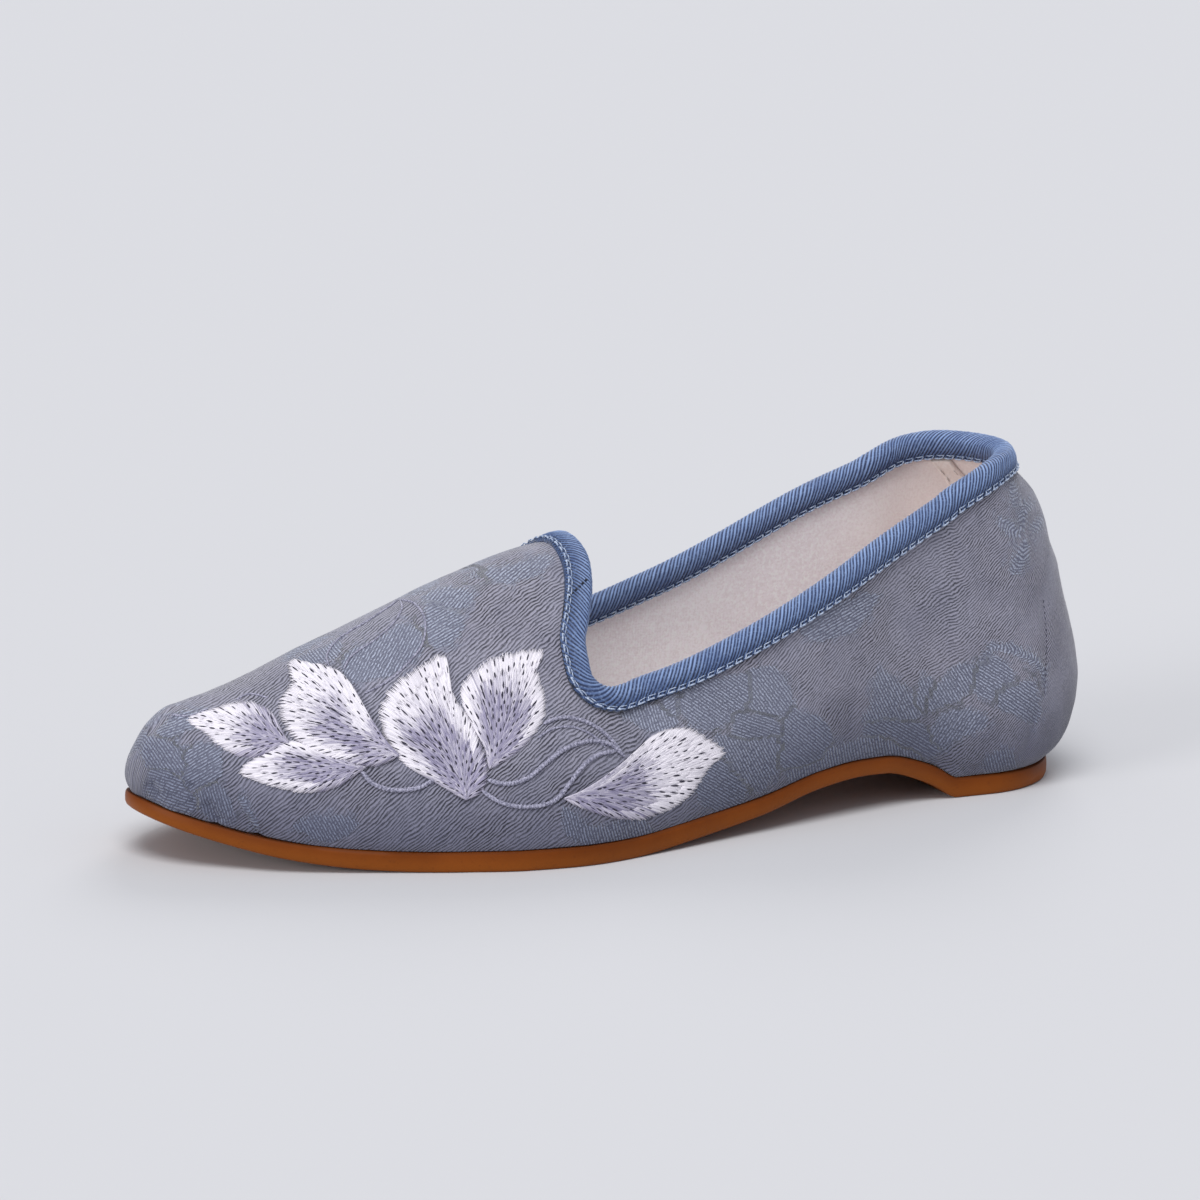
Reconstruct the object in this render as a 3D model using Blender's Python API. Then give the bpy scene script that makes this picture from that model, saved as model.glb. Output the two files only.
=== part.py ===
"""A left cloth slip-on shoe with a covered low heel: rubber outsole, hollow cloth upper, topline
binding, insole with its heel lift, and the tape over the back seam. Metres, +X to the toe,
+Y to the wearer's left (the outer side), +Z up. The origin is the middle of the box's base."""

import math

import bmesh
import bpy
import numpy as np

# Driving sizes of the outsole
LENGTH = 0.246            # outsole, heel back to toe tip
BALL_WIDTH = 0.082        # outsole across the ball
HEEL_WIDTH = 0.051        # outsole across the heel seat
HEEL_ROUND = 0.027        # length of the rounded heel end
TOE_ROUND = 0.034         # length of the rounded toe end
SOLE_THICKNESS = 0.0048   # rubber at the ball
ARCH_RISE = 0.0094        # underside of the waist above the floor
TOE_SPRING = 0.0115       # underside of the toe tip above the floor
BREAST_AT = 0.149         # heel breast, share of LENGTH
SPRING_FROM = 0.740       # where the forefoot leaves the floor, share of LENGTH
SPRING_POWER = 2.2
EDGE_ROUND = 0.0007       # rounded edges of the sole's wall

# Driving sizes of the upper
WALL = 0.0018             # face cloth, padding and lining together
CLEARANCE = 0.0003        # between pieces that meet
FEATHER_INSET = 0.0008    # upper's foot, in from the sole's edge
VAMP_HEIGHT = 0.0625      # ridge above the sole at the throat
BACK_HEIGHT = 0.0785      # collar above the sole at the heel
COUNTER_BULGE = 0.0080    # heel counter, back past the sole's end
COLLAR_LEAN = 0.0140      # collar back, forward of the sole's end
LEAN_REACH = 0.060        # how far forward the counter's shape fades
SIDE_SWELL = 0.0012       # cloth swelling out over the sole's edge
SWELL_HEIGHT = 0.0070
TOE_DOME = 0.012          # length of the toe's rounded front, seen from the side
INNER_LIFT = 0.0036       # inner side of the topline above the outer side

# Driving sizes of the trim
BINDING_DROP = 0.0051     # binding on the outer face
BINDING_CLOTH = 0.0011    # folded bias cloth, each side
INSOLE_THICKNESS = 0.0028
HEEL_LIFT = 0.0155        # insole top above the rubber at the heel seat
INSOLE_DRAFT = 0.0010     # rounded upper edge of the insole
INSOLE_TOE_GAP = 0.0030   # insole stops short of the toe
LIFT_FADE = (0.10, 0.52)  # shares of LENGTH over which the heel lift runs out
TOE_GAP_FROM = 0.80       # where the insole starts to draw back, share of LENGTH
TAPE_WIDTH = 0.0072       # tape over the seam between heel panel and inner quarter
TAPE_ROUND = 0.0208       # its middle, round the upper's foot from the back of the heel
TAPE_CLOTH = 0.0007
FOLD_SIDE = 0.62          # rounded fold of the binding: its shoulder's share of the way out
FOLD_RISE = 0.75          # and up

# Colours
CLOTH_BLUE = (0.30, 0.34, 0.42)
BINDING_BLUE = (0.16, 0.24, 0.38)
GUM_ORANGE = (0.52, 0.22, 0.08)
LINING_BEIGE = (0.60, 0.50, 0.45)
TAPE_BEIGE = (0.64, 0.55, 0.49)

# Outline, seen from above. at: share of LENGTH. centre, half: shares of the local width.
OUTLINE = (
    # at, centre, half
    (0.000, 0.000, 0.500),
    (0.100, 0.000, 0.500),
    (0.183, 0.011, 0.480),
    (0.285, 0.059, 0.456),
    (0.407, 0.083, 0.436),
    (0.528, 0.082, 0.461),
    (0.618, 0.072, 0.499),
    (0.671, 0.053, 0.501),
    (0.724, 0.028, 0.479),
    (0.813, -0.002, 0.412),
    (0.894, -0.013, 0.332),
    (0.951, -0.022, 0.289),
    (1.000, -0.022, 0.280),
)
WIDTH_BLEND = (0.12, 0.60)  # shares of LENGTH between which heel width becomes ball width

# Underside. at: share of LENGTH. rise: share of ARCH_RISE. thick: share of SOLE_THICKNESS.
UNDERSIDE = (
    # at, rise, thick
    (0.000, 0.00, 1.04),
    (BREAST_AT, 0.00, 1.04),
    (0.173, 0.33, 1.04),
    (0.197, 0.62, 0.98),
    (0.238, 0.95, 0.88),
    (0.275, 1.00, 0.86),
    (0.320, 0.90, 0.88),
    (0.400, 0.45, 0.94),
    (0.488, 0.16, 1.00),
    (0.560, 0.00, 1.00),
    (0.740, 0.00, 1.00),
    (0.850, 0.00, 0.90),
    (1.000, 0.00, 0.75),
)

# Last. at: share of LENGTH. ridge: share of VAMP_HEIGHT. full: how full the section's side is.
# Behind the throat the ridge is the line that the side walls would meet on.
SECTIONS = (
    # at, ridge, full
    (0.000, 2.40, 2.00),
    (0.160, 2.40, 2.00),
    (0.244, 2.25, 1.95),
    (0.325, 1.85, 1.75),
    (0.407, 1.50, 1.60),
    (0.480, 1.20, 1.52),
    (0.540, 1.00, 1.50),
    (0.577, 0.978, 1.48),
    (0.650, 0.897, 1.48),
    (0.732, 0.777, 1.52),
    (0.813, 0.650, 1.62),
    (0.874, 0.530, 1.72),
    (0.915, 0.450, 1.80),
    (0.959, 0.370, 1.90),
    (1.000, 0.290, 1.95),
)
RIDGE_SIDE = (
    # at, side: ridge's place across, share of BALL_WIDTH
    (0.000, 0.000),
    (0.300, 0.000),
    (0.540, -0.024),
    (0.800, -0.024),
    (1.000, -0.022),
)

# Heel counter from the side. up: share of BACK_HEIGHT. back: share of COUNTER_BULGE past the
# sole's end. forward: share of COLLAR_LEAN.
COUNTER = (
    # up, back, forward
    (0.00, 0.00, 0.00),
    (0.05, 0.42, 0.00),
    (0.13, 0.74, 0.00),
    (0.20, 0.93, 0.00),
    (0.27, 1.00, 0.00),
    (0.33, 0.93, 0.00),
    (0.44, 0.68, 0.00),
    (0.53, 0.41, 0.00),
    (0.61, 0.23, 0.00),
    (0.72, 0.00, 0.09),
    (0.85, 0.00, 0.39),
    (0.94, 0.00, 0.84),
    (1.00, 0.00, 1.00),
)
COUNTER_SIDE = 0.30        # the bulge at the sides, share of the bulge at the back

# Topline along one side, from the collar's back to the throat's low corner. at: station on the
# last, share of LENGTH. up: share of BACK_HEIGHT above the sole's heel seat. inner: share of
# INNER_LIFT.
TOPLINE = (
    # at, up, inner
    (0.000, 1.000, 0.0),
    (0.030, 0.996, 0.0),
    (0.070, 0.978, 0.0),
    (0.140, 0.918, 0.1),
    (0.235, 0.795, 0.7),
    (0.325, 0.655, 1.0),
    (0.407, 0.545, 1.0),
    (0.480, 0.468, 0.8),
    (0.530, 0.430, 0.6),
)

# Throat on one side, from its low corner round to the vamp's peak. way: share of the way round.
# at: share of LENGTH. turned: share of the section's turn left between the corner and the ridge.
THROAT = (
    # way, at, turned
    (0.00, 0.530, 0.000),
    (0.15, 0.553, 0.004),
    (0.29, 0.571, 0.030),
    (0.42, 0.583, 0.110),
    (0.55, 0.581, 0.240),
    (0.68, 0.567, 0.380),
    (0.80, 0.552, 0.550),
    (0.90, 0.5435, 0.760),
    (1.00, 0.5425, 1.000),
)
HEEL_STATION, CORNER_STATION = TOPLINE[0][0], TOPLINE[-1][0]

# How finely the solids are faceted
HEEL_COLUMNS = 3          # from the back of the heel to the tape
QUARTER_COLUMNS = 20      # from the tape to the throat's corner
THROAT_COLUMNS = 9
VAMP_COLUMNS = 20
BODY_ROWS = 9
BAND_ROWS = 2
ROW_CROWDING = 1.4        # rows stand closer towards the sole
SOLE_COLUMNS = 84
WALK_STEPS = 4            # small steps between two lines of the band
SQUARE = ((0, 0), (1, 0), (1, 1), (0, 1))  # corners of a grid's cell


def smooth(t):
    """Eased step from 0 to 1."""
    t = np.clip(t, 0.0, 1.0)
    return t * t * (3.0 - 2.0 * t)


def curve_through(table, column, x):
    """A monotone cubic through one column of a table whose first column is the place."""
    rows = np.asarray(table, float)
    px, py = rows[:, 0], rows[:, column]
    step = np.diff(px)
    slope = np.diff(py) / step
    tangent = np.zeros(len(px))
    same = slope[1:] * slope[:-1] > 0
    weight = 3.0 * (step[1:] + step[:-1])
    first = (2.0 * step[1:] + step[:-1]) / np.where(same, slope[:-1], 1.0)
    second = (step[1:] + 2.0 * step[:-1]) / np.where(same, slope[1:], 1.0)
    tangent[1:-1] = np.where(same, weight / np.where(same, first + second, 1.0), 0.0)
    tangent[0], tangent[-1] = slope[0], slope[-1]
    x = np.clip(x, px[0], px[-1])
    i = np.clip(np.searchsorted(px, x, side="right") - 1, 0, len(step) - 1)
    t = (x - px[i]) / step[i]
    h = step[i]
    return (
        py[i] * (1 + 2 * t) * (1 - t) ** 2
        + tangent[i] * h * t * (1 - t) ** 2
        + py[i + 1] * t * t * (3 - 2 * t)
        - tangent[i + 1] * h * t * t * (1 - t)
    )


# Outline and sole heights


def along(turn):
    """Share of LENGTH for a turn round the outline: 0 at the heel's back, 1 or -1 at the toe."""
    return 0.5 * (1.0 - np.cos(np.pi * np.abs(turn)))


def end_round(at):
    """How far the rounded ends have closed in: 1 along the sides, 0 at heel back and toe tip."""
    heel = np.clip(1.0 - at * LENGTH / HEEL_ROUND, 0.0, 1.0)
    toe = np.clip(1.0 - (1.0 - at) * LENGTH / TOE_ROUND, 0.0, 1.0)
    closing = np.sqrt(np.maximum(1.0 - heel**2, 0.0) * np.maximum(1.0 - toe**2, 0.0))
    return closing, heel, toe


def local_width(at):
    return HEEL_WIDTH + (BALL_WIDTH - HEEL_WIDTH) * smooth(
        (at - WIDTH_BLEND[0]) / (WIDTH_BLEND[1] - WIDTH_BLEND[0])
    )


def centre_line(at):
    return curve_through(OUTLINE, 1, at) * local_width(at)


def half_width(at):
    return curve_through(OUTLINE, 2, at) * local_width(at)


def underside(at):
    spring = np.clip((at - SPRING_FROM) / (1.0 - SPRING_FROM), 0.0, 1.0)
    return ARCH_RISE * curve_through(UNDERSIDE, 1, at) + TOE_SPRING * spring**SPRING_POWER


def sole_top(at):
    return underside(at) + SOLE_THICKNESS * curve_through(UNDERSIDE, 2, at)


def drawn_in(at, inset):
    """Share of LENGTH at which a station lies once the outline is drawn in by inset."""
    return (inset + at * (LENGTH - 2.0 * inset)) / LENGTH


def outline_point(turn, inset):
    """Plan position on the outline, drawn in by inset."""
    at = along(turn)
    side = np.where(turn < 0, -1.0, 1.0)
    closing, _, _ = end_round(at)
    x = drawn_in(at, inset) * LENGTH
    y = centre_line(at) + side * (half_width(at) - inset) * closing
    return x, y


# The last: a point and a normal of the upper's outer face


def last_point(turn, lift):
    """turn goes round the outline, lift goes up the section: 0 at the sole, pi/2 on the ridge."""
    at = along(turn)
    side = np.where(turn < 0, -1.0, 1.0)
    closing, heel, toe = end_round(at)
    full = curve_through(SECTIONS, 2, at)
    tip = np.clip(1.0 - (1.0 - at) * LENGTH / TOE_DOME, 0.0, 1.0)
    height = curve_through(SECTIONS, 1, at) * VAMP_HEIGHT * np.sqrt(1.0 - tip**2)
    share = np.sin(lift) ** (2.0 / full)
    rise = height * share
    up = np.clip(rise / BACK_HEIGHT, 0.0, 1.3)
    back = curve_through(COUNTER, 1, up)
    forward = curve_through(COUNTER, 2, up)
    fade = 1.0 - smooth(at * LENGTH / LEAN_REACH)
    swell = SIDE_SWELL * (rise / SWELL_HEIGHT) * np.exp(1.0 - rise / SWELL_HEIGHT)
    counter = COUNTER_BULGE * back
    half = half_width(at) - FEATHER_INSET
    middle = centre_line(at)
    middle = middle + (curve_through(RIDGE_SIDE, 1, at) * BALL_WIDTH - middle) * share
    reach = half * np.cos(lift) + swell + COUNTER_SIDE * counter * fade
    foot = drawn_in(at, FEATHER_INSET)
    x = (
        foot * LENGTH
        + swell * toe
        - (swell * heel + counter * fade)
        + COLLAR_LEAN * forward * fade
    )
    y = middle + side * reach * closing
    z = sole_top(foot) + CLEARANCE + rise
    return np.stack([x, y, z], -1)


def last_normal(turn, lift):
    """Outward normal, by small steps kept off the poles."""
    step = 1e-4
    turn = np.clip(turn, -1.0 + 4 * step, 1.0 - 4 * step)
    turn = np.where(np.abs(turn) < step, step, turn)
    lift = np.clip(lift, 4 * step, 0.5 * np.pi - 4 * step)
    round_way = last_point(turn + step, lift) - last_point(turn - step, lift)
    up_way = last_point(turn, lift + step) - last_point(turn, lift - step)
    normal = -np.cross(round_way, up_way)
    return normal / np.linalg.norm(normal, axis=-1, keepdims=True)


def turn_at(at):
    """The turn round the outline that belongs to a station."""
    return np.arccos(1.0 - 2.0 * np.clip(at, 0.0, 1.0)) / np.pi


def lift_at_height(at, z):
    """The lift at which the last's section reaches a height."""
    ridge = curve_through(SECTIONS, 1, at) * VAMP_HEIGHT
    foot = sole_top(drawn_in(at, FEATHER_INSET)) + CLEARANCE
    share = np.clip((z - foot) / ridge, 0.0, 1.0)
    return np.arcsin(share ** (0.5 * curve_through(SECTIONS, 2, at)))


# The topline: turn and lift round one side, side 1 outer and -1 inner


def collar_lift(at, side):
    up = sole_top(HEEL_STATION) + BACK_HEIGHT * curve_through(TOPLINE, 1, at)
    if side < 0:
        up = up + INNER_LIFT * curve_through(TOPLINE, 2, at)
    return lift_at_height(at, up)


def tape_turns():
    """Turns of the tape's back edge, middle and front edge, measured round the upper's foot."""
    turns = np.linspace(0.0, 0.4, 800)
    x, y = outline_point(turns, FEATHER_INSET)
    way_round = np.concatenate([[0.0], np.cumsum(np.hypot(np.diff(x), np.diff(y)))])
    across = 0.5 * TAPE_WIDTH * np.array([-1.0, 0.0, 1.0])
    return np.interp(TAPE_ROUND + across, way_round, turns)


def quarter_turns():
    """Turns of the columns from the back of the heel to the throat's corner, with the tape's three."""
    back, middle, front = tape_turns()
    heel = np.linspace(0.0, back, HEEL_COLUMNS + 1)
    rest = np.linspace(front, turn_at(CORNER_STATION), QUARTER_COLUMNS)
    return np.concatenate([heel, [middle], rest])


def topline(side):
    """Turn and lift of the topline's columns on one side, back seam to peak."""
    back = quarter_turns()
    back_lift = collar_lift(along(back), side)
    way = np.linspace(0.0, 1.0, THROAT_COLUMNS + 1)[1:]
    at = curve_through(THROAT, 1, way)
    turned = curve_through(THROAT, 2, way)
    front_lift = back_lift[-1] + turned * (0.5 * np.pi - back_lift[-1])
    return side * np.concatenate([back, turn_at(at)]), np.concatenate([back_lift, front_lift])


def band_lines(side, drop, rows):
    """Lines of the band under the topline, each a share of drop down the outer face."""
    turn, lift = topline(side)
    lines = [(turn, lift)]
    edge = last_point(turn, lift)
    tangent = np.gradient(edge, axis=0)
    tangent[0] = (0.0, side, 0.0)
    tangent[-1] = (0.0, -side, 0.0)
    tangent /= np.linalg.norm(tangent, axis=1, keepdims=True)
    steps = rows * WALK_STEPS
    for k in range(1, steps + 1):
        normal = last_normal(turn, lift)
        down = np.cross(normal, tangent) * side
        step = 1e-4
        round_way = (last_point(turn + step, lift) - last_point(turn - step, lift)) / (2 * step)
        up_way = (
            last_point(turn, np.minimum(lift + step, 0.5 * np.pi)) - last_point(turn, lift - step)
        ) / (np.minimum(lift + step, 0.5 * np.pi) - lift + step)[:, None]
        a = np.sum(round_way * round_way, 1)
        b = np.sum(round_way * up_way, 1)
        c = np.sum(up_way * up_way, 1)
        d = np.sum(down * round_way, 1)
        e = np.sum(down * up_way, 1)
        det = a * c - b * b
        move = drop / steps
        new_turn = turn + move * (c * d - b * e) / det
        new_lift = np.clip(lift + move * (a * e - b * d) / det, 0.0, 0.5 * np.pi)
        new_turn[0], new_lift[-1] = 0.0, 0.5 * np.pi
        turn, lift = new_turn, new_lift
        if k % WALK_STEPS == 0:
            lines.append((turn, lift))
    return lines


# Solids


def make_object(name, verts, faces, colour, roughness):
    mesh = bpy.data.meshes.new(name)
    work = bmesh.new()
    made = [work.verts.new(v) for v in verts]
    for face in faces:
        work.faces.new([made[i] for i in face])
    bmesh.ops.recalc_face_normals(work, faces=work.faces)
    bmesh.ops.triangulate(work, faces=work.faces)
    work.to_mesh(mesh)
    work.free()
    mesh.shade_smooth()
    mesh.set_sharp_from_angle(angle=math.radians(40.0))
    material = bpy.data.materials.new(name)
    material.use_nodes = True
    surface = material.node_tree.nodes["Principled BSDF"]
    surface.inputs["Base Color"].default_value = (*colour, 1.0)
    surface.inputs["Roughness"].default_value = roughness
    mesh.materials.append(material)
    made_object = bpy.data.objects.new(name, mesh)
    bpy.context.collection.objects.link(made_object)
    return made_object


def centred(points):
    """From the outline's frame to the part's: the box's middle to the origin."""
    return np.asarray(points) - CENTRE


def column_cells(column, side, low_turn, low_lift):
    """Turn and lift of a quarter column's rows, foot to band."""
    share = (np.arange(BODY_ROWS + 1) / BODY_ROWS) ** ROW_CROWDING
    foot = quarter_turns()[column] * side
    return foot + (low_turn[column] - foot) * share, low_lift[column] * share


def upper_sheet():
    """Turn and lift of the upper's grid, and its faces, with the toe tip's vertex last."""
    cells, faces, index = [], [], {}

    def vertex(key, turn, lift):
        if key not in index:
            index[key] = len(cells)
            cells.append((turn, lift))
        return index[key]

    corner = len(quarter_turns()) - 1
    last_column = corner + THROAT_COLUMNS
    rims = {"top": [], "foot": []}
    for side in (1, -1):
        lines = band_lines(side, BINDING_DROP, BAND_ROWS)
        seam = lambda column: 0 if column in (0, last_column) else side
        low = lines[-1]
        grid = {}
        for column in range(last_column + 1):
            for row, (turn, lift) in enumerate(lines):
                key = ("band", column, row, seam(column))
                grid["band", column, row] = vertex(key, turn[column], lift[column])
        for column in range(corner + 1):
            turn, lift = column_cells(column, side, *low)
            for row in range(BODY_ROWS):
                key = ("body", column, row, seam(column))
                grid["body", column, row] = vertex(key, turn[row], lift[row])
            grid["body", column, BODY_ROWS] = grid["band", column, BAND_ROWS]
        for column in range(last_column):
            for row in range(BAND_ROWS):
                faces.append([grid["band", column + i, row + j] for i, j in SQUARE])
        for column in range(corner):
            for row in range(BODY_ROWS):
                faces.append([grid["body", column + i, row + j] for i, j in SQUARE])
        # The vamp: rows of constant lift, from the throat to the toe tip
        starts = [(grid["body", corner, row]) for row in range(BODY_ROWS + 1)]
        starts += [grid["band", column, BAND_ROWS] for column in range(corner + 1, last_column + 1)]
        rows = []
        for row, first in enumerate(starts):
            turn0, lift = cells[first]
            on_ridge = row == len(starts) - 1
            line = [first]
            for k in range(1, VAMP_COLUMNS):
                turn = turn0 + (side - turn0) * k / VAMP_COLUMNS
                line.append(vertex(("vamp", k, row, 0 if on_ridge else side), turn, lift))
            rows.append(line)
        for row in range(len(rows) - 1):
            for k in range(VAMP_COLUMNS - 1):
                faces.append([rows[row + i][k + j] for i, j in SQUARE])
            faces.append([rows[row][-1], rows[row + 1][-1], "tip"])
        rims["top"].append([grid["band", column, 0] for column in range(last_column + 1)])
        rims["foot"].append([grid["body", column, 0] for column in range(corner)] + rows[0])
    tip = len(cells)
    cells.append((1.0, 0.0))
    faces = [[tip if v == "tip" else v for v in face] for face in faces]
    top = rims["top"][0] + rims["top"][1][-2:0:-1]
    foot = rims["foot"][0] + [tip] + rims["foot"][1][:0:-1]
    return np.array(cells), faces, top, foot


def make_upper():
    """One sheet of wall thickness: outer and inner faces joined at the topline and the foot."""
    cells, faces, top, foot = upper_sheet()
    turn, lift = cells[:, 0], cells[:, 1]
    outer = last_point(turn, lift)
    normal = last_normal(turn, lift)
    normal[-1] = (1.0, 0.0, 0.0)
    inner = outer - WALL * normal
    count = len(outer)
    solid = list(faces) + [[v + count for v in face] for face in faces]
    for loop in (top, foot):
        for a, b in zip(loop, loop[1:] + loop[:1]):
            solid.append([a, b, b + count, a + count])
    return make_object("upper", centred(np.concatenate([outer, inner])), solid, CLOTH_BLUE, 0.85)


def make_binding():
    """Bias cloth folded over the topline, clear of the upper's wall all round."""
    sections = []
    for side in (1, -1):
        lines = band_lines(side, BINDING_DROP, BAND_ROWS)
        (turn, lift), (low_turn, low_lift) = lines[0], lines[-1]
        edge, foot = last_point(turn, lift), last_point(low_turn, low_lift)
        out, foot_out = last_normal(turn, lift), last_normal(low_turn, low_lift)
        middle_turn, middle_lift = lines[len(lines) // 2]
        middle, middle_out = last_point(middle_turn, middle_lift), last_normal(middle_turn, middle_lift)
        up = edge - middle
        up /= np.linalg.norm(up, axis=1, keepdims=True)
        near, far = CLEARANCE, CLEARANCE + BINDING_CLOTH
        points = [
            foot + far * foot_out,
            middle + far * middle_out,
            edge + far * out,
            edge + FOLD_SIDE * far * out + FOLD_RISE * far * up,
            edge - 0.5 * WALL * out + far * up,
            edge - (WALL + FOLD_SIDE * far) * out + FOLD_RISE * far * up,
            edge - (WALL + far) * out,
            middle - (WALL + far) * middle_out,
            foot - (WALL + far) * foot_out,
            foot - (WALL + near) * foot_out,
            middle - (WALL + near) * middle_out,
            edge - (WALL + near) * out + near * up,
            edge + near * out + near * up,
            middle + near * middle_out,
            foot + near * foot_out,
        ]
        ring = np.stack(points, 1)
        sections.append(ring if side > 0 else ring[-2:0:-1])
    rings = np.concatenate(sections)
    count, around = rings.shape[:2]
    faces = []
    for i in range(count):
        for j in range(around):
            k, m = (i + 1) % count, (j + 1) % around
            faces.append([i * around + j, k * around + j, k * around + m, i * around + m])
    return make_object("collar_binding", centred(rings.reshape(-1, 3)), faces, BINDING_BLUE, 0.6)


def slab(name, levels, colour, roughness):
    """A closed slab from loops round the outline, bottom to top, capped across at each end."""
    turns = np.linspace(0.0, 1.0, SOLE_COLUMNS + 1)
    loops = []
    for level in levels:
        outer, inner = level(turns), level(-turns[1:-1])
        loops.append(np.concatenate([outer, inner[::-1]]))
    count = len(loops[0])
    verts = np.concatenate(loops)
    faces = []
    for level in range(len(loops) - 1):
        for i in range(count):
            j = (i + 1) % count
            a, b = level * count, (level + 1) * count
            faces.append([a + i, a + j, b + j, b + i])
    for base in (0, (len(loops) - 1) * count):
        pairs = [(base + i, base + (count - i) % count) for i in range(SOLE_COLUMNS + 1)]
        for (a, b), (c, d) in zip(pairs, pairs[1:]):
            faces.append(list(dict.fromkeys([a, b, d, c])))
    return make_object(name, centred(verts), faces, colour, roughness)


def make_outsole():
    def level(inset, base, rise):
        def loop(turn):
            x, y = outline_point(turn, inset)
            return np.stack([x, y, base(x / LENGTH) + rise], -1)

        return loop

    levels = [
        level(EDGE_ROUND, underside, 0.0),
        level(0.0, underside, EDGE_ROUND),
        level(0.0, sole_top, -EDGE_ROUND),
        level(EDGE_ROUND, sole_top, 0.0),
    ]
    return slab("outsole", levels, GUM_ORANGE, 0.45)


def insole_top(at):
    """Height of the footbed: a lift at the heel that fades out before the ball."""
    lift = (HEEL_LIFT + sole_top(HEEL_STATION)) - (INSOLE_THICKNESS + sole_top(at))
    seat = 1.0 - smooth((at - LIFT_FADE[0]) / (LIFT_FADE[1] - LIFT_FADE[0]))
    return sole_top(at) + CLEARANCE + INSOLE_THICKNESS + np.maximum(lift, 0.0) * seat


def make_insole():
    inset = FEATHER_INSET + WALL + 2.0 * CLEARANCE

    def level(draft, height):
        def loop(turn):
            x, y = outline_point(turn, inset + draft)
            x = x - INSOLE_TOE_GAP * smooth((along(turn) - TOE_GAP_FROM) / (1.0 - TOE_GAP_FROM))
            return np.stack([x, y, height(x / LENGTH)], -1)

        return loop

    levels = [
        level(0.0, lambda at: sole_top(at) + CLEARANCE),
        level(0.0, lambda at: insole_top(at) - INSOLE_DRAFT),
        level(INSOLE_DRAFT, insole_top),
    ]
    return slab("insole", levels, LINING_BEIGE, 0.9)


def make_heel_tape():
    """Tape over the inner side's heel seam, from under the binding to just above the footbed."""
    bottom = insole_top(HEEL_STATION) + 4.0 * CLEARANCE
    rings = []
    band = band_lines(-1, BINDING_DROP, BAND_ROWS)[-1]
    for column in (HEEL_COLUMNS + 2, HEEL_COLUMNS + 1, HEEL_COLUMNS):
        turn, lift = column_cells(column, -1, *band)
        out = last_normal(turn, lift)
        wall = last_point(turn, lift) - WALL * out
        first = int(np.argmax(wall[:, 2] > bottom + CLEARANCE))
        below, above = wall[first - 1], wall[first]
        foot = below + (above - below) * (bottom - below[2]) / (above[2] - below[2])
        fall = wall[-2] - wall[-1]
        head = wall[-1] + fall * 2.0 * CLEARANCE / np.linalg.norm(fall)
        line = np.concatenate([[foot], wall[first:-1], [head]])
        face = out[first - 1:]
        rings.append((line - CLEARANCE * face, line - (CLEARANCE + TAPE_CLOTH) * face))
    near = np.stack([ring[0] for ring in rings])
    far = np.stack([ring[1] for ring in rings])
    columns, height = near.shape[:2]
    verts = np.concatenate([near.reshape(-1, 3), far.reshape(-1, 3)])
    half = columns * height
    faces = []
    for i in range(columns - 1):
        for j in range(height - 1):
            cell = [(i + a) * height + j + b for a, b in SQUARE]
            faces += [cell, [v + half for v in cell]]
    border = [i * height for i in range(columns)]
    border += [(columns - 1) * height + j for j in range(1, height)]
    border += [i * height + height - 1 for i in range(columns - 2, -1, -1)]
    border += [j for j in range(height - 2, 0, -1)]
    for a, b in zip(border, border[1:] + border[:1]):
        faces.append([a, b, b + half, a + half])
    return make_object("heel_tape", centred(verts), faces, TAPE_BEIGE, 0.8)


def box_centre():
    """Middle of the whole shoe's box in the outline's frame, from the last and the outline."""
    turns, lifts = np.meshgrid(np.linspace(-1.0, 1.0, 401), np.linspace(0.0, 0.7, 141))
    body = last_point(turns, lifts).reshape(-1, 3)
    x, y = outline_point(np.linspace(-1.0, 1.0, 401), 0.0)
    low = (min(x.min(), body[:, 0].min()), min(y.min(), body[:, 1].min()))
    high = (max(x.max(), body[:, 0].max()), max(y.max(), body[:, 1].max()))
    return np.array([0.5 * (low[0] + high[0]), 0.5 * (low[1] + high[1]), 0.0])


CENTRE = box_centre()


def main():
    for old in list(bpy.data.objects):
        bpy.data.objects.remove(old)
    make_outsole()
    make_upper()
    make_binding()
    make_insole()
    make_heel_tape()


main()
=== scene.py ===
"""The looks of a left cloth slip-on shoe: jacquard cloth, satin-stitched petals, couched cords,
ribbed binding, lining and gum-rubber sole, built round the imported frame. Metres, +X to the toe,
+Y to the wearer's left, +Z up."""

import math

import bmesh
import bpy
import numpy as np
from mathutils import Matrix, Vector, noise
from mathutils.bvhtree import BVHTree


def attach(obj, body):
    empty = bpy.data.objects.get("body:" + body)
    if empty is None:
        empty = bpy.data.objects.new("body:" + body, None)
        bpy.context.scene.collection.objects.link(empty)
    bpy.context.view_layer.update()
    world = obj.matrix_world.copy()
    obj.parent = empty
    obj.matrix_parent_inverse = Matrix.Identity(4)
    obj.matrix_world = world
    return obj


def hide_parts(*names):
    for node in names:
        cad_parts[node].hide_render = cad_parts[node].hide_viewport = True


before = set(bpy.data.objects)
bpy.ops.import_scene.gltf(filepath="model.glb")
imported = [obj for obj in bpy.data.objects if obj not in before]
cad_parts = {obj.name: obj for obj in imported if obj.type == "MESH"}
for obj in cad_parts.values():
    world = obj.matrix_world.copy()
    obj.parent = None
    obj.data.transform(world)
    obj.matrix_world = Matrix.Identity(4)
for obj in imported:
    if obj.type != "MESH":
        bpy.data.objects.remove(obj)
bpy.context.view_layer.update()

# Driving sizes of the outsole
LENGTH = 0.246            # outsole, heel back to toe tip
BALL_WIDTH = 0.082        # outsole across the ball
HEEL_WIDTH = 0.051        # outsole across the heel seat
HEEL_ROUND = 0.027        # length of the rounded heel end
TOE_ROUND = 0.034         # length of the rounded toe end
SOLE_THICKNESS = 0.0048   # rubber at the ball
ARCH_RISE = 0.0094        # underside of the waist above the floor
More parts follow.
